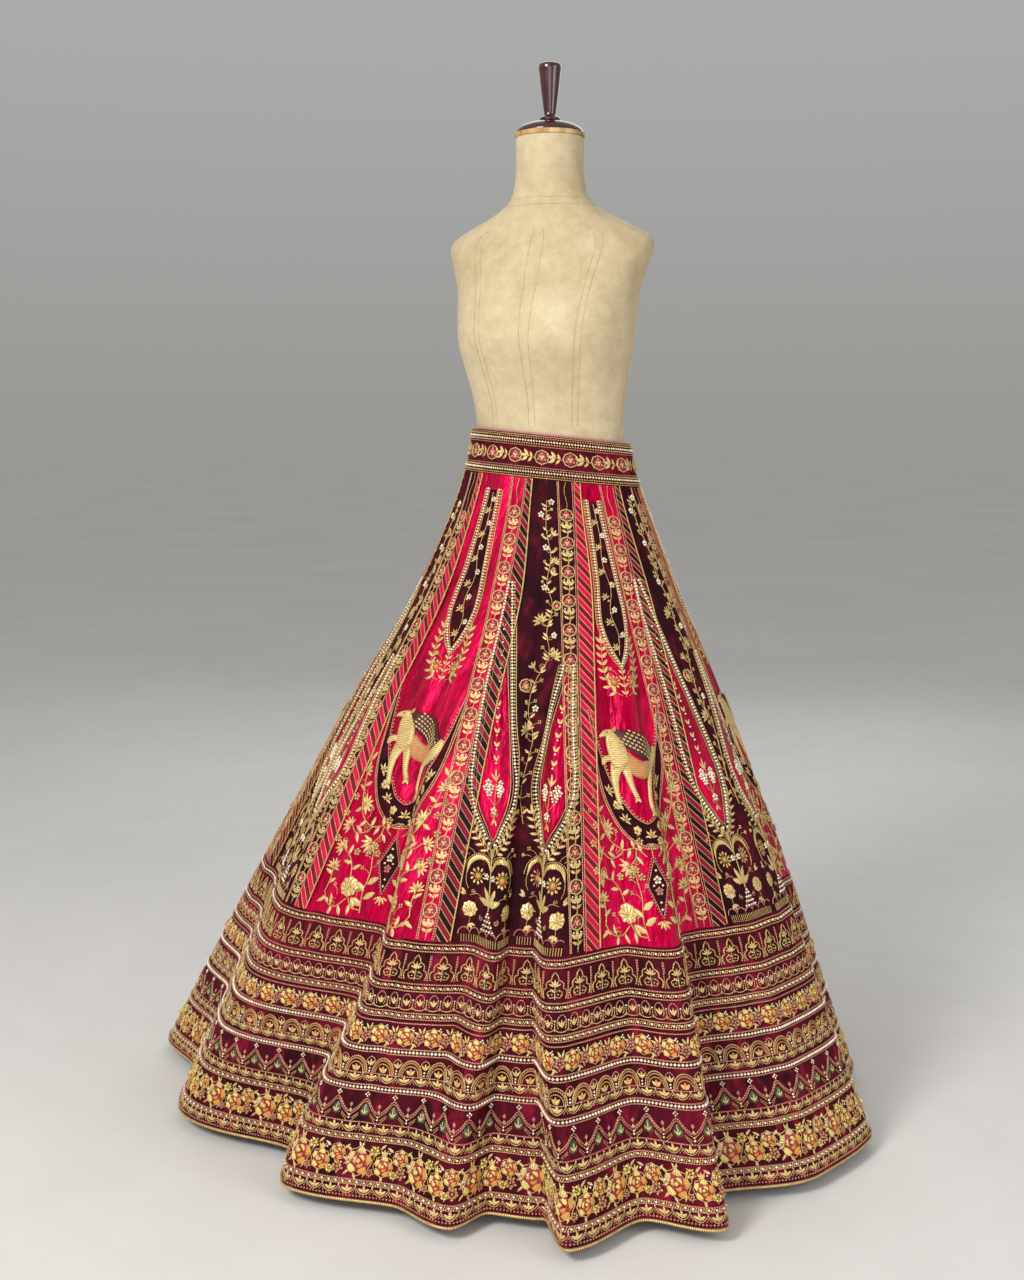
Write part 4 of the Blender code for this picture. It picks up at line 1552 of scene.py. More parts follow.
FORM_SECTIONS = (
    FormSection(0.808, 0.148, 0.098, 0.0, 2.1),
    FormSection(0.822, 0.16, 0.11, 0.0, 2.1),
    FormSection(0.87, 0.168, 0.119, 0.0, 2.1),
    FormSection(0.93, 0.164, 0.116, 0.0, 2.1),
    FormSection(1.012, 0.144, 0.105, 0.001, 2.0),
    FormSection(1.06, 0.132, 0.097, 0.001, 2.0),
    FormSection(1.1, 0.127, 0.094, 0.002, 2.0),
    FormSection(1.15, 0.132, 0.099, 0.006, 2.0),
    FormSection(1.2, 0.142, 0.111, 0.014, 2.1),
    FormSection(1.245, 0.15, 0.121, 0.02, 2.2),
    FormSection(1.29, 0.153, 0.115, 0.015, 2.3),
    FormSection(1.335, 0.158, 0.101, 0.006, 2.4),
    FormSection(1.375, 0.17, 0.09, -0.001, 2.4),
    FormSection(1.402, 0.179, 0.08, -0.006, 2.3),
    FormSection(1.42, 0.174, 0.072, -0.008, 2.2),
    FormSection(1.436, 0.15, 0.067, -0.008, 2.1),
    FormSection(1.452, 0.118, 0.064, -0.007, 2.0),
    FormSection(1.468, 0.089, 0.062, -0.005, 2.0),
    FormSection(1.484, 0.07, 0.06, -0.002, 2.0),
    FormSection(1.505, 0.0615, 0.058, 0.0, 2.0),
    FormSection(1.54, 0.058, 0.056, 0.0, 2.0),
    FormSection(1.59, 0.0585, 0.057, 0.0, 2.0),
)


@dataclass
class DressForm:
    """The cloth-covered torso, its worn rim, cap and finial, and the plain stand."""

    sides: int = 96
    levels: int = 84
    seam_angles: tuple[float, ...] = (0.0, 33.0, 90.0, 147.0, 180.0, 213.0, 270.0, 327.0)

    MEAN_RADIUS = 0.13
    SEAM_DEPTH, SEAM_SPREAD, SEAM_TOP = 0.0011, 1.7, 1.44
    NECK_DEPTH, NECK_SPREAD, NECK_SEAM = 0.0012, 0.003, 1.478
    STITCH, STITCH_LIFT, STITCH_LENGTH, STITCH_PITCH = 0.00035, 0.0003, 0.0034, 0.0052

    def section_points(self, height: float, around: Array, lift: float = 0.0) -> Array:
        """Points round the torso at a height.

        Args:
            height: metres.
            around: radians from the form's own front.
            lift: metres outwards.

        Returns:
            One point for each angle.
        """
        rows = FORM_SECTIONS[::-1]
        read = lambda name: smooth_read([row.height for row in rows], [getattr(row, name) for row in rows], height)
        power = 2.0 / read("square")
        wide, deep = read("half_width") + lift, read("half_depth") + lift
        x = wide * np.sign(np.sin(around)) * np.abs(np.sin(around)) ** power
        y = -deep * np.sign(np.cos(around)) * np.abs(np.cos(around)) ** power - read("ahead")
        cosine, sine = math.cos(math.radians(FORM_TURN)), math.sin(math.radians(FORM_TURN))
        return side_by_side(x * cosine - y * sine, x * sine + y * cosine, np.full_like(x, height))

    def build_torso(self, wardrobe: Wardrobe) -> Piece:
        """A finer loft of the torso, with its pattern seams sunk in."""
        low, high = FORM_SECTIONS[0].height, FORM_SECTIONS[-1].height
        around = np.linspace(0.0, math.tau, self.sides, endpoint=False)
        rings, flats = [], []
        for height in np.linspace(low, high, self.levels):
            dent = np.zeros(self.sides)
            for seam in self.seam_angles:
                away = (np.degrees(around) - seam + 180.0) % 360.0 - 180.0
                dent -= self.SEAM_DEPTH * np.exp(-(away / self.SEAM_SPREAD) ** 2)
            if height > self.SEAM_TOP:
                dent *= 0.0
            dent -= self.NECK_DEPTH * math.exp(-((height - self.NECK_SEAM) / self.NECK_SPREAD) ** 2)
            base = self.section_points(height, around)
            centre = np.array([0.0, 0.0, height])
            away = base - centre
            away /= np.linalg.norm(away, axis=1, keepdims=True)
            rings.append(base + away * dent[:, None])
            flats.append(side_by_side(around * self.MEAN_RADIUS, np.full(self.sides, height)))
        piece = closed_rings("form_torso_cover", np.array(rings), 50.0, np.array(flats))
        wardrobe.dress(piece, "calico")
        return settle(piece, "cream_cloth", "form_torso")

    def build_stitching(self, threads: ThreadRecipe, wardrobe: Wardrobe) -> Piece:
        """Two rows of small stitches beside each seam, and two round the neck."""
        lines = []
        for seam in self.seam_angles:
            for side in (-2.3, 2.3):
                for height in np.arange(1.1, 1.43, self.STITCH_PITCH):
                    spot = np.radians(np.array([seam + side]))
                    both = (height, height + self.STITCH_LENGTH)
                    ends = [self.section_points(h, spot, self.STITCH_LIFT)[0] for h in both]
                    lines.append((np.array(ends), self.STITCH, False))
        for height in (1.472, 1.484):
            for turn in np.arange(0.0, 360.0, 5.0):
                spots = np.radians(np.array([turn, turn + 3.2]))
                lines.append((self.section_points(height, spots, self.STITCH_LIFT), self.STITCH, False))
        seed = thread_seed("form_stitches", lines)
        return settle(threads.grow("form_stitching", seed, sides=3, finish=wardrobe[CREAM]), "cream_cloth")

    def dress_solids(self, wardrobe: Wardrobe, nodes: dict) -> None:
        """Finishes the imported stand."""
        for name, key in (
            ("stand_base", "mahogany"), ("stand_collar", "metal"), ("stand_pole", "metal"), ("stand_plate", "metal"),
        ):
            wardrobe.dress_node(nodes[name], key)

    def turn(self, name: str, profile: Sequence[tuple[float, float]], node: str, slot: str, key: str,
             wardrobe: Wardrobe, sides: int = 72) -> Piece:
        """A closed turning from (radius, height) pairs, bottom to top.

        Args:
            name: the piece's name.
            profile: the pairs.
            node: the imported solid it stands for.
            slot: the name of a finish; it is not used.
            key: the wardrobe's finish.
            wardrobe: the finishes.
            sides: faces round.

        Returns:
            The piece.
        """
        around = np.linspace(0.0, math.tau, sides, endpoint=False)
        rings = np.array([
            side_by_side(r * np.sin(around), -r * np.cos(around), np.full(sides, z)) for r, z in profile
        ])
        piece = closed_rings(name, rings, 35.0)
        wardrobe.dress(piece, key)
        return settle(piece, slot, node)

    def build_top(self, wardrobe: Wardrobe) -> list[Piece]:
        """The worn rim, the domed cap and the tapered finial."""
        rim_low, rim_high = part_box("neck_rim")
        cap_low, cap_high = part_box("neck_cap")
        tip_low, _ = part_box("finial")
        radius = rim_high[0]
        bottom, top = rim_low[2], rim_high[2]
        rim = [(radius - 0.003, bottom), (radius - 0.0009, bottom + 0.0009), (radius, bottom + 0.003),
               (radius - 0.0006, (bottom + top) / 2), (radius, top - 0.003), (radius - 0.0009, top - 0.0009),
               (radius - 0.003, top)]
        dome_radius = cap_high[0]
        crown, steps = math.radians(78.0), 18
        dome = []
        for step in range(steps + 1):
            rise = crown * step / steps
            height = cap_low[2] + (cap_high[2] - cap_low[2]) * math.sin(rise) / math.sin(crown)
            dome.append((dome_radius * math.cos(rise), height))
        foot = tip_low[2] + 0.0005
        keys = [(0.0165, -0.0005), (0.018, 0.003), (0.015, 0.006), (0.0105, 0.009), (0.0112, 0.02),
                (0.015, 0.05), (0.0185, 0.082), (0.0195, 0.09), (0.018, 0.096), (0.012, 0.099)]
        heights = [z for _, z in keys]
        fine = np.unique(np.concatenate([np.linspace(-0.0005, 0.099, 60), heights]))
        profile = [
            (smooth_read([-h for h in heights], [r for r, _ in keys], -z), foot + z) for z in fine
        ]
        return [
            self.turn("neck_rim_turned", rim, "neck_rim", "worn_wood", "worn_wood", wardrobe),
            self.turn("neck_cap_turned", dome, "neck_cap", "mahogany", "mahogany", wardrobe),
            self.turn("finial_turned", profile, "finial", "mahogany", "mahogany", wardrobe, sides=40),
        ]


# ---- flat drawing -------------------------------------------------------------------------------

Point = tuple[float, float]
Line = Array | Sequence[Point]


def through(points: Sequence[Point], count: int) -> Array:
    """A smooth line through some flat points, with a number of places on it."""
    keys = np.array(points, dtype=float)
    along = lengths_along(keys)
    slopes = np.gradient(keys, along, axis=0)
    at = np.linspace(0.0, along[-1], count)
    index = np.clip(np.searchsorted(along, at, side="right") - 1, 0, len(keys) - 2)
    span = (along[index + 1] - along[index])[:, None]
    s = (at - along[index])[:, None] / span
    return cubic(keys[index], keys[index + 1], slopes[index] * span, slopes[index + 1] * span, s)


def bow(x: float, y: float, radius: float, start: float, end: float, count: int, tall: float = 1.0) -> Array:
    """Part of a circle, in degrees from +X, made taller or lower."""
    turn = np.radians(np.linspace(start, end, count))
    return side_by_side(x + radius * np.cos(turn), y + radius * tall * np.sin(turn))


def leftwards(line: Array) -> Array:
    """The direction to the left at each place of a line, one metre long."""
    run = np.gradient(line, axis=0)
    run /= np.maximum(np.linalg.norm(run, axis=1, keepdims=True), EPSILON)
    return side_by_side(-run[:, 1], run[:, 0])


def lengths_along(line: Array) -> Array:
    """The distance from a line's start to each of its places."""
    return np.concatenate(([0.0], np.cumsum(np.linalg.norm(np.diff(line, axis=0), axis=1))))


def nearest(line: Array, y: float) -> Array:
    """The place of an upright line nearest a height."""
    return line[int(np.argmin(np.abs(line[:, 1] - y)))]


def beside(line: Array, distance: float) -> Array:
    """A line moved to its left by a distance."""
    return line + leftwards(line) * distance


def evenly(line: Array, pitch: float) -> Array:
    """Places along a line at a pitch."""
    along = lengths_along(line)
    at = np.linspace(0.0, along[-1], max(2, round(along[-1] / pitch) + 1))
    return side_by_side(np.interp(at, along, line[:, 0]), np.interp(at, along, line[:, 1]))


SUNK = 0.0003
SUNK_CLOTH = 0.0004
BEAD_FULLNESS = 1.15
LEAF_LENGTH = 1.12
LEAF_WIDTH = 1.28


@dataclass
class Drawing:
    """A flat drawing in threads, beads and filled stitches; level is how far it lies above the cloth."""

    level: float = 0.0
    threads: list = field(default_factory=list)
    beads: list = field(default_factory=list)
    fills: list = field(default_factory=list)

    def thread(self, yarn: Yarn, line: Line, radius: float = 0.0008, closed: bool = False) -> None:
        """Couches a thread along a line."""
        line = np.asarray(line, dtype=float)
        self.threads.append((yarn, line, radius, closed, self.level + radius * 0.6))

    def stem(self, yarn: Yarn, points: Sequence[Point], count: int, radius: float) -> None:
        """Couches a thread smoothly through some points."""
        self.thread(yarn, through(points, count), radius)

    def bead(self, yarn: Yarn, places: Line | Point, radius: float = 0.0016) -> None:
        """Sews a bead at each place."""
        places = np.atleast_2d(np.asarray(places, dtype=float))
        self.beads.append((yarn, places, radius * BEAD_FULLNESS, self.level + radius * 0.7))

    def ribbon(self, key: object, line: Array, halves: Sequence[float], rise: float = 0.0009) -> None:
        """Satin stitch along a line, raised in the middle.

        Args:
            key: the yarn or cloth.
            line: its middle line.
            halves: half its width at each place of the line.
            rise: the height of its middle.
        """
        line = np.asarray(line, dtype=float)
        half = np.maximum(np.interp(np.linspace(0, 1, len(line)), np.linspace(0, 1, len(halves)), halves), 0.0002)
        count = len(line)
        side = leftwards(line) * half[:, None]
        flat = np.concatenate([line + side, line, line - side])
        high = np.concatenate([np.full(count, -SUNK), np.full(count, rise), np.full(count, -SUNK)]) + self.level
        i = np.arange(count - 1)
        left, mid, right = i, i + count, i + 2 * count
        quads = np.concatenate([
            side_by_side(left, mid, mid + 1, left + 1),
            side_by_side(mid, right, right + 1, mid + 1),
        ])
        along = lengths_along(line)
        self.fills.append((key, flat, high, np.tile(along, 3), [quads]))

    def leaf(self, key: object, x: float, y: float, angle: float, length: float, width: float,
             rise: float = 0.001) -> None:
        """A pointed leaf from its foot, at degrees from +X."""
        turn = math.radians(angle)
        length, width = length * LEAF_LENGTH, width * LEAF_WIDTH
        shares = np.array([0.0, 0.34, 0.7, 1.0])[:, None]
        line = np.array([[x, y]]) + shares * length * np.array([[math.cos(turn), math.sin(turn)]])
        self.ribbon(key, line, [0.12 * width, 0.5 * width, 0.4 * width, 0.0], rise)

    def petals(self, key: object, x: float, y: float, inner: float, outer: float, count: int, width: float,
               start: float = 90.0, sweep: float = 360.0) -> None:
        """Leaves set round a centre."""
        step = sweep / count if sweep >= 359.0 else sweep / max(1, count - 1)
        for i in range(count):
            turn = start + i * step
            foot = (x + inner * math.cos(math.radians(turn)), y + inner * math.sin(math.radians(turn)))
            self.leaf(key, foot[0], foot[1], turn, outer - inner, width)

    def pad(self, key: object, outline: Line, rise: float = 0.0012) -> None:
        """A filled shape, highest in the middle, drawn round anticlockwise."""
        outline = np.asarray(outline, dtype=float)
        count = len(outline)
        centre = outline.mean(axis=0)
        inner = centre + (outline - centre) * 0.6
        flat = np.concatenate([outline, inner, centre[None, :]])
        high = np.concatenate([np.full(count, -SUNK), np.full(count, rise * 0.8), [rise]]) + self.level
        i = np.arange(count)
        j = (i + 1) % count
        quads = side_by_side(i, j, j + count, i + count)
        fans = side_by_side(i + count, j + count, np.full(count, 2 * count))
        self.fills.append((key, flat, high, np.arctan2(*(flat - centre).T) * 0.004, [quads, fans]))

    def disc(self, key: object, x: float, y: float, radius: float, rise: float = 0.0014, sides: int = 8,
             scallop: float = 0.0) -> None:
        """A round or scalloped pad."""
        outline = bow(x, y, radius, 0.0, 360.0, sides + 1)[:-1]
        if scallop:
            wave = 1.0 - scallop * (np.arange(sides) % 2)
            outline = np.array([[x, y]]) + (outline - np.array([[x, y]])) * wave[:, None]
        self.pad(key, outline, rise)

    def patch(self, key: object, ups: Sequence[float], halves: Sequence[float], x: float = 0.0,
              thick: float = 0.0007, columns: int = 6, rows: int = 22) -> None:
        """A piece of cloth applied flat between two mirrored edges.

        Args:
            key: the cloth.
            ups: heights of the outline, rising.
            halves: half its width at each height.
            x: its middle.
            thick: its thickness.
            columns: faces across.
            rows: places down.
        """
        y = np.linspace(ups[-1], ups[0], rows)
        half = np.maximum(np.interp(y, ups, halves), 0.0004)
        share = np.linspace(-1.0, 1.0, columns + 1)
        flat = side_by_side(x + half[:, None] * share[None, :], np.repeat(y[:, None], columns + 1, axis=1))
        self.sheet_patch(key, flat, thick)

    def swathe(self, key: object, points: Sequence[Point], halves: Sequence[float], rise: float = 0.0016,
               count: int = 14, columns: int = 6) -> None:
        """A broad filled shape along a line, domed across, for a body or a limb.

        Args:
            key: the yarn.
            points: its middle line.
            halves: half its width along the line.
            rise: its height in the middle.
            count: places along it.
            columns: faces across.
        """
        line = through(points, count)
        share = np.linspace(0, 1, count)
        half = np.maximum(through(list(zip(np.linspace(0, 1, len(halves)), halves)), count)[:, 1], 0.0004)
        side = leftwards(line) * half[:, None]
        across = np.linspace(-1.0, 1.0, columns + 1)
        flat = line[:, None, :] + across[None, :, None] * side[:, None, :]
        dome = np.sqrt(np.clip(1.0 - across**2, 0.0, 1.0))[None, :] * np.minimum(1.0, half / 0.004)[:, None] * rise
        ends = np.minimum(1.0, np.minimum(share, 1.0 - share) * 8.0 + 0.25)[:, None]
        self.sheet_patch(key, flat[::-1], (dome * ends)[::-1])

    def sheet_patch(self, key: object, flat: Array, thick: float | Array) -> None:
        """Closed thin cloth over a grid of flat places, rows downwards and columns to the right."""
        rows, across = flat.shape[:2]
        index = np.arange(rows * across).reshape(rows, across)
        a, b, c, d = index[:-1, :-1], index[1:, :-1], index[1:, 1:], index[:-1, 1:]
        front = side_by_side(a, b, c, d).reshape(-1, 4)
        layer = rows * across
        rim = np.concatenate([index[0, ::-1], index[1:-1, 0], index[-1, :], index[1:-1, -1][::-1]])
        after = np.roll(rim, -1)
        sides = side_by_side(rim, rim + layer, after + layer, after)
        places = flat.reshape(-1, 2)
        upper = np.broadcast_to(thick, flat.shape[:2]).ravel()
        high = np.concatenate([upper, np.full(layer, -SUNK_CLOTH)]) + self.level
        run = np.concatenate([places[:, 1], places[:, 1]])
        self.fills.append((key, np.concatenate([places, places]), high, run, [front, front[:, ::-1] + layer, sides]))

    def add(self, other: "Drawing", x: float = 0.0, y: float = 0.0, turn: float = 0.0, scale: float = 1.0,
            mirror: bool = False) -> None:
        """Adds another drawing, moved, turned, scaled or mirrored."""
        cosine, sine = math.cos(math.radians(turn)) * scale, math.sin(math.radians(turn)) * scale
        matrix = np.array([[cosine, -sine], [sine, cosine]])
        if mirror:
            matrix = matrix @ np.array([[-1.0, 0.0], [0.0, 1.0]])

        def moved(flat: Array) -> Array:
            """Places after the move."""
            return flat @ matrix.T + np.array([x, y])

        for yarn, line, radius, closed, high in other.threads:
            self.threads.append((yarn, moved(line), radius, closed, high + self.level))
        for yarn, places, radius, high in other.beads:
            self.beads.append((yarn, moved(places), radius, high + self.level))
        for key, flat, high, run, faces in other.fills:
            turned = [f[:, ::-1] for f in faces] if mirror else faces
            self.fills.append((key, moved(flat), high + self.level, run, turned))

    def squeezed(self, share: float) -> "Drawing":
        """The same drawing, narrower or wider."""
        scale = np.array([share, 1.0])
        made = Drawing()
        made.threads = [(k, line * scale, r, c, h) for k, line, r, c, h in self.threads]
        made.beads = [(k, places * scale, r, h) for k, places, r, h in self.beads]
        made.fills = [(k, flat * scale, h, run, faces) for k, flat, h, run, faces in self.fills]
        return made


# ---- laying the drawings on the cloth -----------------------------------------------------------

@dataclass
class Embroiderer:
    """Lays drawings on the cloth and makes one piece from each assembly's stitches."""

    threads: ThreadRecipe
    beads: BeadRecipe
    wardrobe: Wardrobe
    lines: dict = field(default_factory=dict)
    drops: dict = field(default_factory=dict)
    pads: dict = field(default_factory=dict)

    def lay(self, drawing: Drawing, cloth: object, wall: float, edge: Edge = Edge.CENTRE,
            offsets: Sequence[Point] = ((0.0, 0.0),)) -> None:
        """Lays one drawing at each of some offsets.

        Args:
            drawing: the flat drawing.
            cloth: the map of the cloth.
            wall: the height of the cloth's outer face.
            edge: where x is measured from.
            offsets: flat moves, one for each repeat.
        """
        moves = np.array(offsets, dtype=float)[:, None, :]
        drape = cloth.drape

        def carried(flat: Array, high: Array) -> Array:
            """Flat places of every repeat, on the cloth."""
            places = flat[None, :, :] + moves
            angle, height = cloth.locate(places[..., 0], places[..., 1], edge)
            return drape.lay(angle, height, np.broadcast_to(high + wall, angle.shape))

        for yarn, line, radius, closed, high in drawing.threads:
            for points in carried(line, np.full(len(line), high)):
                self.lines.setdefault(yarn, []).append((points, radius, closed))
        for yarn, places, radius, high in drawing.beads:
            points = carried(places, np.full(len(places), high)).reshape(-1, 3)
            self.drops.setdefault(yarn, []).append((points, np.full(len(points), radius)))
        for key, flat, high, run, faces in drawing.fills:
            for points in carried(flat, high):
                self.pads.setdefault(key, []).append((points, run, flat, faces))

    def finish(self, name: str, slot: str, sides: int = 3) -> Piece:
        """Joins everything laid so far into one piece.

        Args:
            name: the piece's name.
            slot: the name of a finish; it is not used.
            sides: faces round each thread.

        Returns:
            The piece.
        """
        parts = []
        for yarn, lines in self.lines.items():
            seed = thread_seed(name, lines)
            parts.append(self.threads.grow(f"{name}_{yarn.value}", seed, sides=sides, finish=self.wardrobe[yarn]))
        for yarn, drops in self.drops.items():
            seed = seed_mesh(name, *[np.concatenate(column) for column in zip(*drops)])
            parts.append(self.beads.grow(f"{name}_{yarn.value}_beads", seed, finish=self.wardrobe[yarn]))
        for key, pads in self.pads.items():
            parts.append(self.fill_piece(f"{name}_{getattr(key, 'value', key)}_fill", pads, key))
        self.lines, self.drops, self.pads = {}, {}, {}
        with bpy.context.temp_override(active_object=parts[0], object=parts[0], selected_editable_objects=parts):
            bpy.ops.object.join()
        piece = parts[0]
        piece.name = piece.data.name = name
        LOG.info("%s: %d faces", name, len(piece.data.polygons))
        return settle(piece, slot)

    def fill_piece(self, name: str, pads: Sequence[tuple], key: object) -> Piece:
        """All the fills of one finish as one mesh."""
        points, runs, flats, by_size, start = [], [], [], {}, 0
        for place, run, flat, faces in pads:
            points.append(place)
            runs.append(run)
            flats.append(flat)
            for face in faces:
                by_size.setdefault(face.shape[1], []).append(face + start)
            start += len(place)
        mesh = new_mesh(name, np.concatenate(points), [np.concatenate(faces) for faces in by_size.values()])
        add_number(mesh, "run", np.concatenate(runs))
        add_uv(mesh, np.concatenate(flats))
        piece = link(name, mesh)
        self.wardrobe.dress(piece, key)
        return piece


# ---- motifs -------------------------------------------------------------------------------------

def small_rose(radius: float = 0.0105) -> Drawing:
    """A round rose: scalloped ivory ring, crimson centre, small ivory heart."""
    art = Drawing()
    turn = np.linspace(0.0, math.tau, 17)[:-1]
    ring = radius * (0.96 + 0.04 * np.cos(8 * turn))
    loop = side_by_side(ring * np.sin(turn), ring * np.cos(turn))
    art.thread(IVORY, loop, 0.0015, closed=True)
    art.disc(CRIMSON, 0, 0, radius * 0.82, 0.001, 12)
    art.level = 0.001
    art.petals(PINK, 0, 0, radius * 0.36, radius * 0.74, 3, radius * 0.26, 210)
    art.petals(IVORY, 0, 0, 0.0002, radius * 0.38, 3, radius * 0.3, 150)
    return art


def leaf_sprig(height: float = 0.02) -> Drawing:
    """Three leaves and two side leaves on a short stem."""
    art = Drawing()
    art.stem(GOLD, [(0, -height / 2), (0.0012, 0), (0, height * 0.25)], 4, 0.0006)
    for angle, x, y in ((90, 0, height * 0.12), (42, 0.001, height * 0.05), (138, -0.001, height * 0.05)):
        art.leaf(IVORY, x, y, angle, height * 0.42, 0.0056)
    art.leaf(GOLD, 0, -height * 0.25, 30, height * 0.36, 0.0044)
    art.leaf(GOLD, 0, -height * 0.25, 150, height * 0.36, 0.0044)
    return art


def fan_flower(radius: float = 0.013, yarn: Yarn = IVORY, count: int = 7) -> Drawing:
    """A spiky fan of petals over a small cup."""
    art = Drawing()
    art.petals(yarn, 0, 0, radius * 0.2, radius, count, radius * 0.3, -8, 196)
    art.leaf(GOLD, 0, 0, 215, radius * 0.5, radius * 0.26)
    art.leaf(GOLD, 0, 0, 325, radius * 0.5, radius * 0.26)
    art.bead(GOLD, (0, 0), radius * 0.16)
    return art


def sun_flower(radius: float = 0.011) -> Drawing:
    """A gold heart in a ring of separate pointed petals."""
    art = Drawing()
    art.petals(GOLD, 0, 0, radius * 0.55, radius, 10, radius * 0.3)
    art.disc(YELLOW, 0, 0, radius * 0.36, 0.0016, 8)
    art.thread(GOLD, bow(0, 0, radius * 0.44, 0, 360, 11)[:-1], 0.0006, closed=True)
    return art


def chrysanthemum(radius: float = 0.013) -> Drawing:
    """A big pale round flower with a scalloped rim and fine rays."""
    art = Drawing()
    art.disc(IVORY, 0, 0, radius, 0.0012, 16, scallop=0.12)
    art.level = 0.001
    for turn in range(-30, 211, 40):
        ray = math.radians(turn)
        ends = [(radius * s * math.cos(ray), radius * (s * math.sin(ray) - 0.15)) for s in (0.1, 0.75)]
        art.thread(GOLD, np.array(ends), 0.0005)
    art.bead(GOLD, bow(0, -radius * 0.1, radius * 0.52, 0, 180, 5), 0.0009)
    art.bead(GOLD, (0, -radius * 0.15), 0.0017)
    return art


def blossom(radius: float = 0.0075, yarn: Yarn = PEARL, count: int = 5) -> Drawing:
    """A small flower of round petals about a gold bead."""
    art = Drawing()
    art.bead(yarn, bow(0, 0, radius * 0.62, 90, 450, count + 1)[:-1], radius * 0.36)
    art.level = 0.0006
    art.bead(GOLD, (0, 0), radius * 0.26)
    return art


def berries(length: float = 0.016) -> Drawing:
    """A twig with a cluster of four beads at its end."""
    art = Drawing()
    art.stem(GOLD, [(0, 0), (length * 0.4, length * 0.12), (length * 0.8, 0)], 5, 0.0006)
    tip = np.array([(length * 0.86, 0), (length, length * 0.14), (length, -length * 0.14), (length * 1.13, 0)])
    art.bead(IVORY, tip, 0.0015)
    return art


def leafy_branch(line: Array, count: int, length: float, width: float, yarn: Yarn) -> Drawing:
    """A stem with paired leaves along it and one at its tip."""
    art = Drawing()
    art.thread(GOLD, line, 0.0006)
    spots = evenly(line, np.linalg.norm(np.diff(line, axis=0), axis=1).sum() / count)
    for spot, after in zip(spots[:-1], spots[1:]):
        ahead = math.degrees(math.atan2(after[1] - spot[1], after[0] - spot[0]))
        for side in (-48, 48):
            art.leaf(yarn, after[0], after[1], ahead + side, length, width)
    art.leaf(yarn, spots[-1][0], spots[-1][1], ahead, length * 1.2, width)
    return art


def curl(radius: float = 0.008, turns: float = 1.2, count: int = 11, yarn: Yarn = GOLD) -> Drawing:
    """A spiral tendril that ends in a bead."""
    art = Drawing()
    turn = np.linspace(0.0, turns * math.tau, count)
    reach = radius * (1.0 - 0.75 * turn / turn[-1])
    line = side_by_side(radius - reach * np.cos(turn), reach * np.sin(turn))
    art.thread(yarn, line, 0.0007)
    art.bead(yarn, line[-1], 0.0013)
    return art


def deer() -> Drawing:
    """A spotted young deer facing left, its back rounded and its hooves split."""
    art = Drawing()
    art.swathe(BROWN, [(0.046, 0.012), (0.04, -0.01), (0.028, -0.024), (0.033, -0.042)],
               [0.007, 0.005, 0.0034, 0.0022], 0.0012)
    art.level = 0.0007
    art.swathe(TAN, [(-0.018, 0.03), (-0.008, 0.008), (0.006, -0.001), (0.022, 0.004), (0.034, 0.016)],
               [0.005, 0.0125, 0.015, 0.014, 0.007], 0.0018)
    art.swathe(CREAM, [(-0.022, 0.014), (-0.019, -0.01), (-0.0155, -0.031), (-0.01, -0.049)],
               [0.009, 0.0062, 0.0042, 0.0035], 0.0018)
    art.level = 0.0016
    art.swathe(CREAM, [(0.051, 0.034), (0.043, 0.014), (0.028, -0.004), (0.015, -0.018), (0.01, -0.04),
                       (0.009, -0.06), (0.012, -0.074)],
               [0.004, 0.0095, 0.01, 0.0056, 0.0036, 0.0032, 0.0034], 0.0024, 20)
    art.swathe(BROWN, [(-0.03, 0.068), (-0.01, 0.057), (0.01, 0.043), (0.029, 0.028), (0.044, 0.016)],
               [0.003, 0.0155, 0.0195, 0.0185, 0.012], 0.0022, 20, 8)
    art.level = 0.0024
    art.swathe(CREAM, [(-0.034, 0.008), (-0.04, -0.014), (-0.0405, -0.036), (-0.038, -0.062)],
               [0.01, 0.0066, 0.0044, 0.0037], 0.0022)
    art.swathe(CREAM, [(-0.038, 0.068), (-0.034, 0.052), (-0.03, 0.032), (-0.03, 0.014), (-0.034, 0.0)],
               [0.005, 0.0125, 0.015, 0.014, 0.008], 0.0026, 18, 8)
    art.swathe(CREAM, [(-0.032, 0.065), (-0.045, 0.064), (-0.056, 0.059)], [0.0066, 0.0062, 0.0018], 0.0026, 10)
    art.leaf(TAN, -0.032, 0.067, 62, 0.011, 0.005)
    art.swathe(CREAM, [(-0.04, 0.02), (-0.052, 0.018), (-0.056, 0.008)], [0.005, 0.0056, 0.0026], 0.0018, 8)
    for x, y in ((-0.038, -0.062), (-0.01, -0.048), (0.012, -0.073)):
        for turn in (244, 292):
            art.leaf(IVORY, x, y, turn, 0.0085, 0.0036)
    art.level = 0.0046
    spine = through([(-0.022, 0.065), (-0.006, 0.055), (0.012, 0.042), (0.028, 0.026), (0.038, 0.012)], 60)
    for distance, pitch in ((0.0118, 0.007), (0.0058, 0.0068), (-0.0002, 0.0066), (-0.0064, 0.0064),
                            (-0.0122, 0.0062)):
        row = evenly(beside(spine, distance)[6:-4], pitch)
        for here, after in zip(row[:-1], row[1:]):
            ahead = math.degrees(math.atan2(after[1] - here[1], after[0] - here[0]))
            art.leaf(IVORY, here[0], here[1], ahead - 10, 0.0044, 0.0026, 0.0006)
    art.bead(DARK, (-0.042, 0.0655), 0.0013)
    for y in np.arange(0.056, -0.004, -0.005):
        art.stem(TAN, [(-0.042, y), (-0.031, y + 0.003), (-0.018, y - 0.001)], 4, 0.0004)
    return art


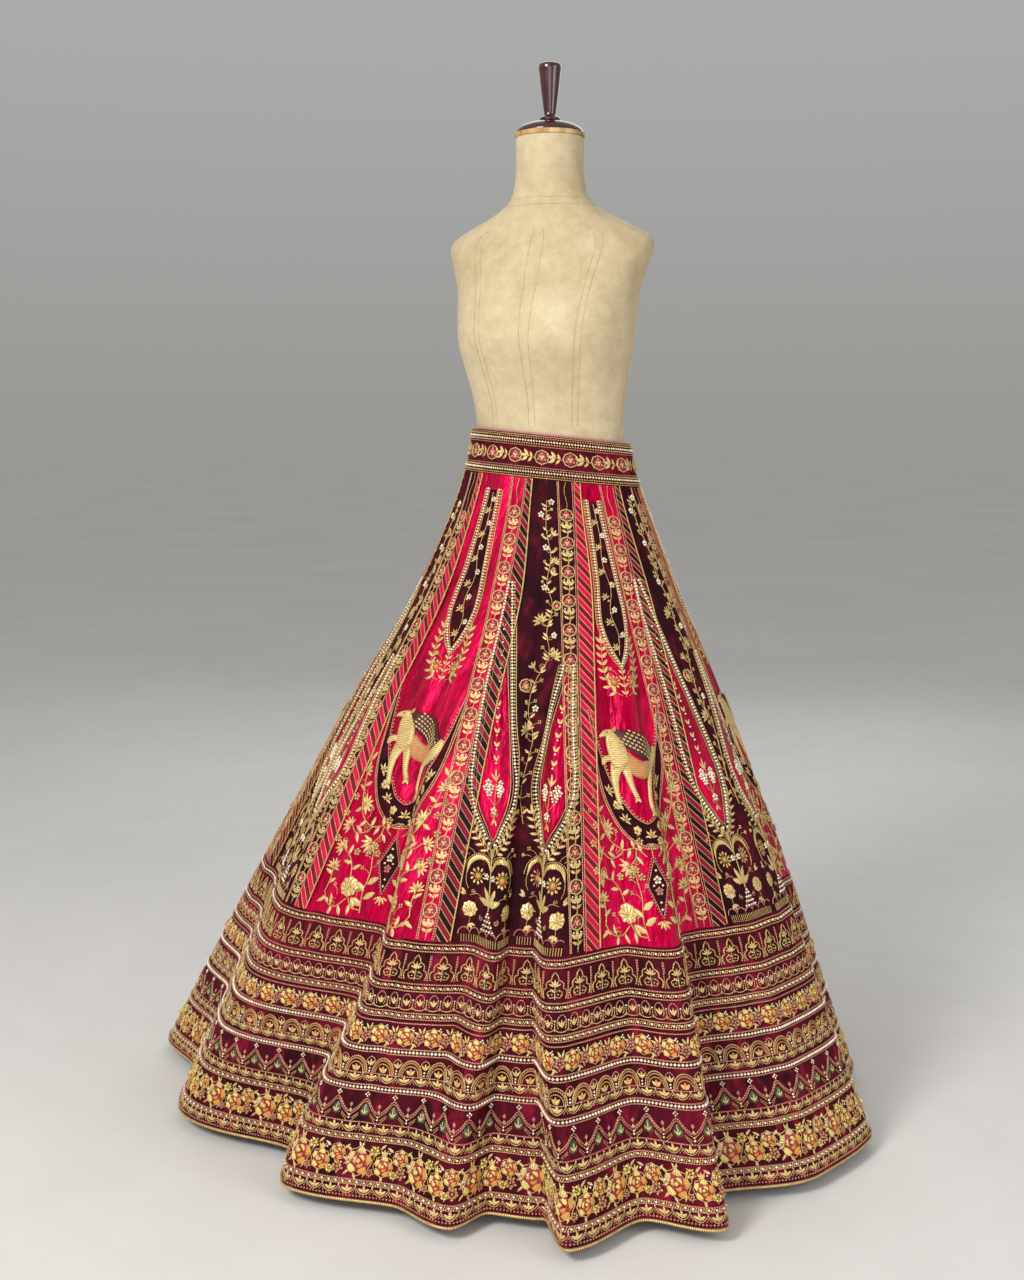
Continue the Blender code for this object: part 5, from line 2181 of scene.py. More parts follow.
def ogee(top: float, bottom: float, half: float, widest: float) -> Array:
    """Half widths and heights of a pointed drop, from its lower tip up."""
    rise, fall = widest - bottom, top - widest
    return np.array([
        (bottom, 0.0), (bottom + 0.28 * rise, half * 0.42), (bottom + 0.62 * rise, half * 0.82), (widest, half),
        (widest + 0.13 * fall, half * 0.93), (widest + 0.32 * fall, half * 0.66), (widest + 0.55 * fall, half * 0.38),
        (widest + 0.8 * fall, half * 0.15), (top, 0.0),
    ])


def outline_of(shape: Array, x: float) -> Array:
    """Both sides of a mirrored shape, down its left and up its right."""
    left = side_by_side(x - shape[::-1, 1], shape[::-1, 0])
    return np.concatenate([left, side_by_side(x + shape[1:, 1], shape[1:, 0])])


def ogee_line(shape: Array, x: float, out: float, pitch: float) -> Array:
    """The drop's outline moved outwards, from the top down the left and up the right."""
    line = evenly(through(outline_of(shape, x), 160), pitch)
    return beside(line, -out) if out else line


class VelvetKaliArt:
    """The velvet kalis' design: two hanging satin drops over a flower bed, beside a flowering tree."""

    def __init__(self) -> None:
        """Draws the panel once, 0.24 m wide at the border."""
        self.art = Drawing()
        self.draw_drop(-0.058, 0.545)
        self.draw_drop(0.058, 0.415)
        for x in (-0.058, 0.058):
            self.draw_bed(x)
        self.draw_tree()

    def draw_drop(self, x: float, top: float) -> None:
        """A satin drop with pearls about it and a bouquet in it."""
        art = self.art
        shape = ogee(top, 0.146, 0.03, 0.222)
        art.patch("satin", shape[:, 0], shape[:, 1], x, rows=30)
        art.level = 0.0005
        art.thread(GOLD, ogee_line(shape, x, 0.0008, 0.007), 0.0009)
        art.thread(ROSE_GOLD, ogee_line(shape, x, 0.0046, 0.007), 0.0009)
        art.level = 0.0
        art.bead(PEARL, ogee_line(shape, x, 0.008, 0.0052), 0.0023)
        art.bead(IVORY, ogee_line(shape, x, 0.0121, 0.0052), 0.0019)
        art.thread(GOLD, ogee_line(shape, x, 0.015, 0.008), 0.0009)
        art.level = 0.0008
        art.stem(GOLD, [(x, 0.176), (x, 0.2), (x + 0.001, 0.232)], 5, 0.0007)
        for side in (-1, 1):
            art.stem(GOLD, [(x, 0.196), (x + side * 0.007, 0.202), (x + side * 0.012, 0.21)], 4, 0.0006)
            for dx, dy in ((0.01, 0.213), (0.015, 0.221), (0.007, 0.222), (0.0115, 0.229)):
                art.add(blossom(0.0056), x + side * dx, dy)
            art.add(curl(0.0045, 1.0, 7), x, 0.183, 0 if side > 0 else 180, mirror=False)
            art.leaf(IVORY, x, 0.232, 90 - side * 34, 0.012, 0.003)
            art.leaf(GOLD, x, 0.176, 90 + side * 148, 0.009, 0.004)
        art.leaf(IVORY, x, 0.234, 90, 0.014, 0.0034)
        art.add(blossom(0.0062, PEARL, 5), x, 0.188)
        y = 0.262
        while y < top - 0.06:
            art.leaf(IVORY, x, y, 62, 0.0085, 0.0036)
            art.leaf(IVORY, x, y, 118, 0.0085, 0.0036)
            art.bead(PEARL, (x, y - 0.004), 0.0017)
            y += 0.021
        art.level = 0.0

    def draw_bed(self, x: float) -> None:
        """What grows under a drop: leaf sprays, crescents, round flowers, a tiered temple and a fringe."""
        art = self.art
        stem = through([(x, 0.134), (x + 0.0004, 0.09), (x, 0.048)], 7)
        art.thread(IVORY, stem, 0.0011)
        for side in (-1, 1):
            flip = side < 0
            for reach, rise in ((0.009, 0.143), (0.005, 0.147)):
                art.stem(IVORY, [(x, 0.118), (x + side * reach * 0.5, 0.13), (x + side * reach, rise)], 4, 0.0006)
            spray = through([(0.003, 0.122), (0.018, 0.139), (0.032, 0.16), (0.04, 0.186)], 8)
            art.add(leafy_branch(spray, 7, 0.0115, 0.0044, IVORY), x, 0, mirror=flip)
            crescent = through([(0.001, 0.103), (0.01, 0.117), (0.024, 0.121), (0.037, 0.113), (0.042, 0.098)], 11)
            hook = Drawing()
            hook.ribbon(GOLD, crescent, [0.0012, 0.0036, 0.0046, 0.0036, 0.0008], 0.0016)
            hook.thread(IVORY, beside(crescent, 0.0052), 0.0006)
            hook.stem(GOLD, [(0.042, 0.098), (0.043, 0.086), (0.039, 0.076)], 4, 0.0007)
            hook.add(sun_flower(0.0125), 0.0245, 0.094)
            hook.add(berries(0.015), 0.03, 0.126, 38)
            hook.add(berries(0.012), 0.038, 0.124, 8)
            hook.add(blossom(0.005), 0.0075, 0.094)
            hook.leaf(IVORY, 0.001, 0.056, 20, 0.02, 0.0086, 0.0014)
            hook.leaf(IVORY, 0.001, 0.058, 62, 0.0215, 0.0078, 0.0014)
            hook.stem(GOLD, [(0.016, 0.062), (0.026, 0.069), (0.037, 0.066)], 6, 0.0007)
            hook.add(curl(0.004, 1.1, 8), 0.03, 0.068, 60)
            hook.leaf(GOLD, 0.044, 0.068, 60, 0.01, 0.005)
            hook.leaf(IVORY, 0.043, 0.068, 15, 0.009, 0.0044)
            hook.add(chrysanthemum(0.0132), 0.037, 0.047)
            hook.add(curl(0.0046, 1.1, 8), 0.019, 0.04, 240)
            hook.stem(GOLD, [(0.037, 0.034), (0.038, 0.028), (0.036, 0.022)], 4, 0.0006)
            for leaf_angle in (200, 250, 300):
                hook.leaf(IVORY, 0.037, 0.027, leaf_angle, 0.0085, 0.0042)
            art.add(hook, x, 0, mirror=flip)
        for tier, wide in enumerate((0.016, 0.0115, 0.0075, 0.004)):
            y = 0.018 + tier * 0.0062
            art.stem(ROSE_GOLD, [(x - wide, y), (x, y + 0.0035), (x + wide, y)], 6, 0.0009)
            count = 5 - tier
            places = [2 * i / max(1, count - 1) - 1 if count > 1 else 0 for i in range(count)]
            art.bead(PEARL, [(x + wide * 0.8 * place, y + 0.0042) for place in places], 0.0018)
        art.bead(PEARL, (x, 0.045), 0.002)
        scallops = np.concatenate([bow(x - 0.046 + 0.0184 * i, 0.0125, 0.0092, 180, 0, 6)[:-1] for i in range(6)])
        art.thread(ROSE_GOLD, scallops, 0.001)
        for i in range(26):
            foot = x - 0.05 + 0.004 * i
            art.thread(IVORY if i % 2 else GOLD, np.array([(foot, 0.0012), (foot, 0.0115)]), 0.0007)

    def draw_tree(self) -> None:
        """A climbing vine with fans, round flowers, leaves and berries, from the bed to the waist."""
        art = self.art
        stem = through([
            (0.004, 0.17), (-0.004, 0.215), (0.004, 0.262), (0.01, 0.3), (-0.004, 0.345), (0.006, 0.392),
            (0.022, 0.43), (0.014, 0.47), (0.02, 0.51), (0.008, 0.55), (0.013, 0.59), (0.004, 0.64), (0.004, 0.69),
        ], 48)
        art.thread(GOLD, stem, 0.0009)
        growth = (
            (0.3, -1, "fan"), (0.335, 1, "blossom"), (0.365, -1, "round"), (0.4, -1, "leaf"), (0.425, 1, "fan"),
            (0.452, 1, "blossom"), (0.478, -1, "fan"), (0.5, 1, "round"), (0.528, -1, "blossom"), (0.552, 1, "leaf"),
            (0.575, 1, "fan"), (0.6, -1, "blossom"), (0.626, 1, "leaf"), (0.652, -1, "blossom"),
            (0.676, 1, "blossom"),
        )
        for y, side, kind in growth:
            at = nearest(stem, y)
            reach = 0.012 if y < 0.5 else 0.008
            tip = (at[0] + side * reach, at[1] + 0.008)
            art.stem(GOLD, [tuple(at), (at[0] + side * reach * 0.6, at[1] + 0.001), tip], 4, 0.0006)
            if kind == "fan":
                art.add(fan_flower(0.0125 if y < 0.5 else 0.0085), tip[0], tip[1], -24 * side)
            elif kind == "round":
                art.add(small_rose(0.01 if y < 0.5 else 0.007), tip[0], tip[1] + 0.004)
            elif kind == "leaf":
                for turn in (20, 62, 104):
                    art.leaf(IVORY, tip[0], tip[1], 90 - side * turn + side * 30, 0.0095, 0.0042)
            else:
                art.add(blossom(0.0058), tip[0], tip[1])
            art.leaf(IVORY, at[0], at[1], 90 + side * 60, 0.0095, 0.004)
        for step, y in enumerate(np.arange(0.186, 0.672, 0.018)):
            at = nearest(stem, y)
            side = 1 if step % 2 else -1
            slim = 1.0 if y < 0.5 else 0.75
            art.add(berries(0.015 * slim), at[0], at[1], 90 - side * 52)
            art.leaf(IVORY, at[0], at[1] + 0.004, 90 + side * 46, 0.01 * slim, 0.004)
            if step % 3 == 0 and y < 0.42:
                art.add(curl(0.0052, 1.1, 8), at[0], at[1] + 0.006, 60 if side < 0 else 150)


class SatinKaliArt:
    """The satin kalis' design: a velvet drop, a deer in a velvet frame, a pendant and flower sprays."""

    def __init__(self) -> None:
        """Draws the panel once, 0.25 m wide at the border."""
        self.art = Drawing()
        self.draw_top_drop()
        self.draw_scrolls()
        self.draw_frame()
        self.art.add(deer().squeezed(1.3), 0.002, 0.257, scale=0.87)
        self.draw_pendant()
        for mirror in (False, True):
            self.art.add(self.spray(), 0, 0, mirror=mirror)

    def draw_top_drop(self) -> None:
        """The tall velvet drop that hangs from the waist."""
        art = self.art
        shape = np.array([(0.425, 0.0), (0.445, 0.009), (0.47, 0.0175), (0.495, 0.0215), (0.52, 0.02),
                          (0.56, 0.015), (0.61, 0.0115), (0.66, 0.009), (0.7, 0.0075)])
        art.patch("velvet", shape[:, 0], shape[:, 1], 0.0, rows=30)
        edge = outline_of(shape, 0.0)
        open_line = lambda out, pitch: evenly(beside(edge, -out), pitch)
        art.level = 0.0005
        art.thread(GOLD, open_line(0.0006, 0.008), 0.0009)
        art.level = 0.0
        art.bead(PEARL, open_line(0.0038, 0.005), 0.002)
        art.bead(IVORY, open_line(0.0076, 0.005), 0.0017)
        art.thread(GOLD, open_line(0.0102, 0.008), 0.0008)
        art.level = 0.0008
        vine = through([(0, 0.44), (0.004, 0.475), (-0.004, 0.51), (0.004, 0.55), (-0.003, 0.59), (0.002, 0.64),
                        (0, 0.695)], 26)
        art.thread(GOLD, vine, 0.0007)
        for i, y in enumerate(np.arange(0.452, 0.69, 0.021)):
            side = 1 if i % 2 else -1
            at = nearest(vine, y)
            wide = 0.008 if 0.465 < y < 0.54 else 0.0045
            if i % 2:
                art.add(blossom(0.0052), at[0] + side * wide, y)
            else:
                art.add(fan_flower(0.0072, count=5), at[0] + side * wide, y, -30 * side)
            art.leaf(GOLD, at[0], at[1], 90 - side * 100, 0.006, 0.003)
        art.level = 0.0

    def draw_scrolls(self) -> None:
        """A leafed tip and a pair of scrolled flowers between the drop and the frame."""
        art = self.art
        for side in (-1, 1):
            flip = side < 0
            half = Drawing()
            branch = through([(0.006, 0.374), (0.022, 0.382), (0.03, 0.4), (0.032, 0.43), (0.029, 0.46)], 12)
            half.add(leafy_branch(branch, 8, 0.012, 0.005, IVORY))
            half.add(sun_flower(0.0112), 0.017, 0.396)
            half.add(berries(0.014), 0.01, 0.408, 40)
            art.add(half, 0, 0, mirror=flip)
        art.stem(GOLD, [(0, 0.372), (0, 0.395), (0, 0.42)], 5, 0.0009)
        for y in (0.376, 0.388, 0.4, 0.41):
            for side in (-1, 1):
                art.leaf(IVORY, 0, y, 90 + side * 46, 0.008, 0.0036)

    def draw_frame(self) -> None:
        """The deep U of velvet round the deer, with cords on both edges and sprigs in its foot."""
        art = self.art
        left = [(-0.074, 0.352), (-0.072, 0.32), (-0.069, 0.282), (-0.062, 0.24), (-0.048, 0.202), (-0.026, 0.171)]
        curve = left + [(0.0, 0.159)] + [(-x, y) for x, y in left[::-1]]
        line = through(curve, 56)
        share = np.abs(np.linspace(-1.0, 1.0, len(line)))
        half = 0.0016 + 0.015 * (1.0 - ease(share / 0.95))
        side = leftwards(line)
        across = np.linspace(-1.0, 1.0, 4)
        grid = line[None, :, :] + across[::-1, None, None] * half[None, :, None] * side[None, :, :]
        art.sheet_patch("velvet", grid, 0.0007)
        art.level = 0.0004
        for edge in (1, -1):
            art.thread(ROSE_GOLD, line + side * (edge * (half + 0.0006))[:, None], 0.0012)
        art.level = 0.0
        art.bead(IVORY, evenly(line[2:-2] + (side * (half + 0.0036)[:, None])[2:-2], 0.0058), 0.0014)
        art.thread(GOLD, (line - side * (half + 0.0038)[:, None])[1:-1], 0.001)
        art.level = 0.0008
        for i in range(-4, 5):
            spot = line[len(line) // 2 + i * 3]
            kind = fan_flower(0.0098, count=5) if i % 2 == 0 else leaf_sprig(0.015)
            art.add(kind, spot[0], spot[1] - 0.001, 14 * i)
        art.level = 0.0
        art.petals(IVORY, 0, 0.148, 0.001, 0.01, 5, 0.0032, 200, 140)

    def draw_pendant(self) -> None:
        """The velvet diamond low down, with stones in it."""
        art = self.art
        ups, halves = (0.04, 0.06, 0.084, 0.1, 0.124), (0.0, 0.01, 0.0165, 0.012, 0.0)
        art.patch("velvet", ups, halves, 0.0, rows=14)
        corners = [(0, 0.124), (-0.0165, 0.086), (0, 0.04), (0.0165, 0.086), (0, 0.124)]
        line = evenly(np.array(corners), 0.006)
        art.level = 0.0004
        art.thread(ROSE_GOLD, line, 0.0011)
        art.level = 0.0
        art.bead(ROSE_GOLD, evenly(beside(np.array(corners), -0.0032), 0.0046), 0.0014)
        art.level = 0.0009
        art.add(blossom(0.0068), 0, 0.094)
        art.add(blossom(0.0068, PINK), 0, 0.078)
        art.bead(PEARL, [(0, 0.108), (-0.007, 0.086), (0.007, 0.086), (0, 0.062), (0, 0.052)], 0.002)
        art.level = 0.0
        art.petals(GOLD, 0, 0.036, 0.001, 0.012, 5, 0.0036, 200, 140)
        art.thread(GOLD, [(0, 0.146), (0, 0.126)], 0.0008)

    def spray(self) -> Drawing:
        """The flowers on one side of the pendant, from the frame's foot to the border."""
        art = Drawing()
        vines = (
            ((0.01, 0.128), (0.026, 0.14), (0.048, 0.136), (0.068, 0.148), (0.082, 0.178), (0.09, 0.215),
             (0.09, 0.25)),
            ((0.048, 0.136), (0.06, 0.126), (0.076, 0.124), (0.088, 0.134)),
            ((0.026, 0.14), (0.03, 0.124), (0.042, 0.112)),
            ((0.03, 0.008), (0.034, 0.04), (0.03, 0.066), (0.034, 0.096)),
            ((0.032, 0.012), (0.046, 0.014), (0.058, 0.03)),
            ((0.06, 0.026), (0.076, 0.012), (0.094, 0.016), (0.104, 0.03)),
            ((0.062, 0.058), (0.066, 0.076), (0.078, 0.092), (0.092, 0.098)),
            ((0.104, 0.03), (0.1, 0.05), (0.102, 0.07)),
        )
        for vine in vines:
            art.thread(GOLD, through(vine, 4 * len(vine) - 4), 0.0012)
        for x, y, turn, size in (
            (0.044, 0.112, 210, 0.0165), (0.074, 0.168, 60, 0.015), (0.093, 0.218, 20, 0.013),
            (0.094, 0.132, 300, 0.013),
            (0.096, 0.098, 290, 0.0125), (0.102, 0.068, 10, 0.012),
        ):
            art.add(fan_flower(size), x, y, turn)
        for x, y, turn in (
            (0.018, 0.136, 70), (0.03, 0.14, 80), (0.036, 0.138, 300), (0.052, 0.137, 110), (0.062, 0.144, 320),
            (0.078, 0.162, 330),
            (0.078, 0.166, 160), (0.084, 0.188, 30), (0.086, 0.196, 150), (0.09, 0.232, 60), (0.09, 0.236, 130),
            (0.066, 0.125, 40),
            (0.074, 0.124, 250), (0.028, 0.128, 230), (0.086, 0.014, 80), (0.092, 0.016, 30), (0.07, 0.014, 250),
            (0.052, 0.018, 270),
            (0.1, 0.022, 330), (0.103, 0.044, 150), (0.1, 0.056, 30), (0.064, 0.07, 150), (0.068, 0.078, 10),
            (0.078, 0.091, 110),
            (0.086, 0.095, 60), (0.044, 0.014, 60), (0.082, 0.012, 290),
        ):
            art.leaf(IVORY, x, y, turn, 0.014, 0.0056, 0.0013)
        for x, y, turn, size in ((0.058, 0.14, 250, 0.0078), (0.082, 0.178, 100, 0.007), (0.078, 0.024, 300, 0.008),
                                 (0.034, 0.118, 150, 0.006), (0.088, 0.104, 40, 0.0064)):
            art.add(curl(size, 1.2, 9), x, y, turn)
        for x, y, turn in ((0.062, 0.148, 110), (0.032, 0.094, 90), (0.032, 0.084, 40), (0.031, 0.076, 140),
                           (0.032, 0.066, 30),
                           (0.088, 0.204, 340), (0.09, 0.246, 90), (0.078, 0.03, 60), (0.048, 0.026, 110)):
            art.add(berries(0.016), x, y, turn)
        for x, y in ((0.032, 0.108), (0.024, 0.098), (0.041, 0.1), (0.108, 0.11), (0.106, 0.15), (0.062, 0.096),
                     (0.018, 0.15), (0.096, 0.176)):
            art.add(blossom(0.0064, IVORY), x, y)
        for x, y, turn in ((0.031, 0.052, 148), (0.033, 0.04, 36), (0.031, 0.03, 150), (0.032, 0.018, 30)):
            art.leaf(IVORY, x, y, turn, 0.02, 0.0084, 0.0016)
        art.add(chrysanthemum(0.0172), 0.06, 0.044)
        return art


@dataclass
class KaliWork:
    """All the stitches on one kali: its panel design, rose strip, cords and band lines."""

    kali: Kali
    pitch: float = 0.048

    DESIGNS = {}
    DRAWN_WIDTHS = {Cloth.VELVET: 0.24, Cloth.SATIN: 0.238}
    STRIP_MIDDLE = -0.0135
    CORD_POINTS = 72

    def panel_art(self) -> Drawing:
        """The panel's design, made to this kali's width."""
        if not self.DESIGNS:
            self.DESIGNS[Cloth.VELVET] = VelvetKaliArt().art
            self.DESIGNS[Cloth.SATIN] = SatinKaliArt().art
        share = self.kali.flat.field_width(0.02) / self.DRAWN_WIDTHS[self.kali.cloth]
        return self.DESIGNS[self.kali.cloth].squeezed(min(1.0, share))

    def strip_art(self) -> tuple[Drawing, Drawing]:
        """One repeat of the rose strip, and the cords beside it."""
        repeat = Drawing()
        repeat.add(small_rose(0.0106), 0, 0.012)
        repeat.add(leaf_sprig(0.0245), 0.0004, -0.0115)
        repeat.bead(PEARL, [(-0.0062, -0.0015), (0.0062, -0.0015)], 0.0014)
        cords = Drawing()
        length = self.kali.flat.length
        line = np.linspace(0.002, length - 0.001, self.CORD_POINTS)
        for x, yarn, radius in ((-0.002, ROSE_GOLD, 0.0011), (-0.0262, ROSE_GOLD, 0.0011), (-0.024, GOLD, 0.0008)):
            cords.thread(yarn, side_by_side(np.full_like(line, x), line), radius)
        vine = side_by_side(self.STRIP_MIDDLE + 0.0022 * np.sin(line / self.pitch * math.tau), line)
        cords.thread(GOLD, vine, 0.0005)
        return repeat, cords

    def band_art(self) -> Drawing:
        """The slanting tinsel lines and edge cords of the striped band."""
        art = Drawing()
        kali, length = self.kali, self.kali.flat.length
        width = lambda y: np.array([kali.band_width(1.0 - float(v) / length) for v in np.atleast_1d(y)])
        slant = StripedFinish.slant
        for count, y in enumerate(np.arange(0.0, length + 0.03, StripedFinish.period / 2)):
            across = np.array([0.0012, float(width(min(y, length))[0]) - 0.0018])
            ends = y - slant * across
            if ends[1] > 0.001 and ends[0] < length - 0.001:
                art.thread(GOLD if count % 2 else ROSE_GOLD, side_by_side(across, ends), 0.0008)
        line = np.linspace(0.002, length - 0.001, self.CORD_POINTS)
        art.thread(GOLD, side_by_side(width(line) - 0.0004, line), 0.0014)
        art.thread(ROSE_GOLD, side_by_side(np.full_like(line, 0.0008), line), 0.0009)
        return art

    def build(self, tailor: Embroiderer) -> Piece:
        """Lays and joins this kali's stitches."""
        kali = self.kali
        tailor.lay(self.panel_art(), kali.flat, kali.wall)
        repeat, cords = self.strip_art()
        count = int((kali.flat.length - 0.03) / self.pitch)
        offsets = [(self.STRIP_MIDDLE, 0.03 + i * self.pitch) for i in range(count)]
        tailor.lay(repeat, kali.flat, kali.wall, Edge.RIGHT, offsets)
        tailor.lay(cords, kali.flat, kali.wall, Edge.RIGHT)
        tailor.lay(self.band_art(), kali.flat, kali.wall + kali.band_wall + kali.GAP, Edge.LEFT)
        return tailor.finish(f"kali_{kali.number + 1:02d}_embroidery", "gold_cord")


# ---- the border ---------------------------------------------------------------------------------

def lotus(size: float = 0.01) -> Drawing:
    """A small open lotus of three ivory petals on a bead."""
    art = Drawing()
    for turn in (30, 90, 150):
        art.leaf(IVORY, 0, 0, turn, size, size * 0.45)
    art.bead(GOLD, (0, -0.0008), 0.0012)
    return art


def garden_rose(radius: float, rim: Yarn) -> Drawing:
    """A large rose: a frilled edge, curved petals in two silks, crimson between them and a lemon heart."""
    art = Drawing()
    turn = np.linspace(0.0, math.tau, 17)[:-1]
    frill = radius * (0.98 + 0.07 * np.cos(8 * turn))
    art.thread(IVORY, side_by_side(frill * np.sin(turn), frill * np.cos(turn)), 0.0009, closed=True)
    art.disc(CRIMSON, 0, 0, radius * 0.9, 0.001, 12)
    art.level = 0.0008
    for turn, yarn in ((10, YELLOW), (82, rim), (154, rim), (226, LEMON), (298, YELLOW)):
        arc = bow(0, 0, radius * 0.74, turn - 30, turn + 30, 5)
        art.ribbon(yarn, arc, [0.0, radius * 0.19, radius * 0.24, radius * 0.19, 0.0], 0.0012)
    for turn, yarn in ((50, LEMON), (170, rim), (290, YELLOW)):
        arc = bow(0, 0, radius * 0.36, turn - 46, turn + 46, 5)
        art.ribbon(yarn, arc, [0.0, radius * 0.13, radius * 0.16, radius * 0.13, 0.0], 0.0012)
    art.bead(LEMON, (0, 0), radius * 0.18)
    return art


class BorderArt:
    """One repeat of each of the border's bands, centred on its own height."""

    @staticmethod
    def arch(_: float) -> Drawing:
        """A cusped pointed arch with a small tree in it, 39 mm wide and tall."""
        art = Drawing()
        side = [(-0.015, -0.017), (-0.0172, -0.011), (-0.0155, -0.005), (-0.0118, -0.0036), (-0.0124, 0.0022),
                (-0.0088, 0.0062), (-0.0058, 0.0072), (-0.0042, 0.0128), (0.0, 0.018)]
        outline = np.concatenate([through(side, 14), through([(-x, y) for x, y in side[::-1]], 14)[1:]])
        art.thread(GOLD, outline, 0.0013)
        art.thread(ROSE_GOLD, [(-0.0198, -0.0175), (-0.0198, 0.0175)], 0.0011)
        art.thread(ROSE_GOLD, [(-0.018, 0.0175), (-0.018, 0.002)], 0.0006)
        art.thread(GOLD, [(0, -0.017), (0, -0.001)], 0.0009)
        art.petals(IVORY, 0, -0.0008, 0.0004, 0.0085, 5, 0.0026, 22, 136)
        for way in (-1, 1):
            branch = through([(0, -0.014), (way * 0.0075, -0.015), (way * 0.0105, -0.0085), (way * 0.006, -0.006)], 7)
            art.thread(IVORY, branch, 0.0007)
            art.bead(IVORY, [(way * 0.006, -0.0062), (way * 0.0085, -0.012), (way * 0.0042, -0.011)], 0.0014)
            art.leaf(GREEN if way > 0 else GOLD, 0, -0.0085, 90 - way * 52, 0.007, 0.003)
        return art

    @staticmethod
    def palmette(_: float) -> Drawing:
        """A horseshoe with ivory drops, a hanging loop and a pearl-topped pillar, 20 mm wide."""
        art = Drawing()
        shoe = through([(-0.0052, -0.007), (-0.0068, 0.001), (-0.004, 0.0085), (0.0, 0.011), (0.004, 0.0085),
                        (0.0068, 0.001), (0.0052, -0.007)], 10)
        art.thread(ROSE_GOLD, shoe, 0.0011)
        for turn in (58, 90, 122):
            art.leaf(IVORY, 0, -0.0055, turn, 0.0088, 0.003)
        art.thread(GOLD, [(0.01, -0.0105), (0.01, 0.001)], 0.0008)
        art.bead(PEARL, (0.01, 0.0028), 0.0015)
        art.thread(IVORY, bow(0.0, -0.006, 0.01, 180, 360, 7, 0.55), 0.0008)
        return art

    @staticmethod
    def rose_row(_: float) -> Drawing:
        """A yellow rose, a small pink flower and twigs, 40 mm wide."""
        art = Drawing()
        art.add(garden_rose(0.013, LEMON), 0.007, 0.0)
        art.add(blossom(0.0072, ROSE_GOLD), -0.012, -0.003)
        art.petals(PINK, -0.012, -0.003, 0.0035, 0.0085, 5, 0.0036, 54)
        for x, y, turn in ((-0.01, 0.005, 120), (-0.008, 0.0055, 75), (-0.0125, 0.004, 160), (0.0175, -0.0085, 330),
                           (-0.018, -0.011, 230)):
            art.leaf(IVORY, x, y, turn, 0.0085, 0.0032)
        art.bead(PEARL, [(0.015, 0.011), (0.0185, 0.0095), (0.017, 0.013)], 0.0014)
        return art

    @staticmethod
    def dome(_: float) -> Drawing:
        """An antique gold double dome over a flower, and the little arch between, 41 mm wide."""
        art = Drawing()
        for radius, size in ((0.0165, 0.0013), (0.014, 0.0013), (0.0116, 0.001)):
            art.thread(GOLD if radius != 0.014 else TAN,
                       bow(0, -0.011, radius, 0, 180, 13, 1.28 if radius > 0.012 else 1.15), size)
        for turn in (45, 90, 135):
            art.leaf(YELLOW if turn == 90 else IVORY, 0, -0.0095, turn, 0.008, 0.0044)
        peak = through([(0.013, -0.001), (0.015, 0.007), (0.0205, 0.011), (0.026, 0.007), (0.028, -0.001)], 9)
        art.thread(ROSE_GOLD, peak, 0.001)
        for turn in (50, 90, 130):
            art.leaf(IVORY, 0.0205, -0.0015, turn, 0.008, 0.003)
        art.bead(PEARL, [(0.0205, -0.005), (0.0205, -0.009)], 0.0017)
        return art

    @staticmethod
    def chain(pitch: float) -> Drawing:
        """A zigzag of double loops with a lotus in each, 25 mm wide."""
        art = Drawing()
        half = pitch / 2
        zigzag = [(-half, 0.004), (-half * 0.55, -0.002), (0.0, -0.005), (half * 0.55, -0.002), (half, 0.004)]
        art.stem(IVORY, zigzag, 9, 0.0008)
        art.thread(ROSE_GOLD, [(half, 0.001), (half * 0.72, -0.0042)], 0.0007)
        art.thread(ROSE_GOLD, [(-half, 0.001), (-half * 0.72, -0.0042)], 0.0007)
        art.add(lotus(0.0088), 0, -0.0018)
        art.bead(PEARL, (half, 0.0058), 0.0012)
        return art

    @staticmethod
    def temple(_: float) -> Drawing:
        """A pointed temple with a green stone, and the pillar between, 43 mm wide."""
        art = Drawing()
        for drop, size in ((0.0, 0.0013), (0.0034, 0.0011)):
            peak = [(-0.0195, -0.005 - drop), (-0.011, 0.002 - drop), (0.0, 0.014 - drop), (0.011, 0.002 - drop),
                    (0.0195, -0.005 - drop)]
            art.thread(ROSE_GOLD, evenly(through(peak, 30), 0.0045), size)
        stone = np.array([(0.0, -0.011), (0.0062, -0.0085), (0.0078, -0.003), (0.0045, 0.003), (0.0, 0.0075),
                          (-0.0045, 0.003), (-0.0078, -0.003), (-0.0062, -0.0085)])
        art.pad(GREEN, stone, 0.0018)
        art.bead(PEARL, [(0, 0.017), (-0.0026, 0.0195), (0.0026, 0.0195), (0, 0.0218)], 0.0015)
        x = 0.0215
        art.pad(PINK, [(x + 0.003, 0.005), (x, 0.009), (x - 0.003, 0.005), (x, 0.001)], 0.0014)
        art.pad(IVORY, [(x + 0.0026, -0.003), (x, 0.0008), (x - 0.0026, -0.003), (x, -0.0068)], 0.0014)
        art.bead(PEARL, [(x, -0.0092), (x, -0.013)], 0.0017)
        for drop in (0.007, 0.011):
            for way in (-1, 1):
                art.thread(GOLD, [(way * 0.009, -0.0022 - drop * 0.6), (way * 0.018, -0.0065 - drop)], 0.0006)
        art.level = 0.0014
        for turn in (50, 90, 130):
            art.leaf(IVORY, 0, -0.0075, turn, 0.009 if turn == 90 else 0.0068, 0.0028)
        return art

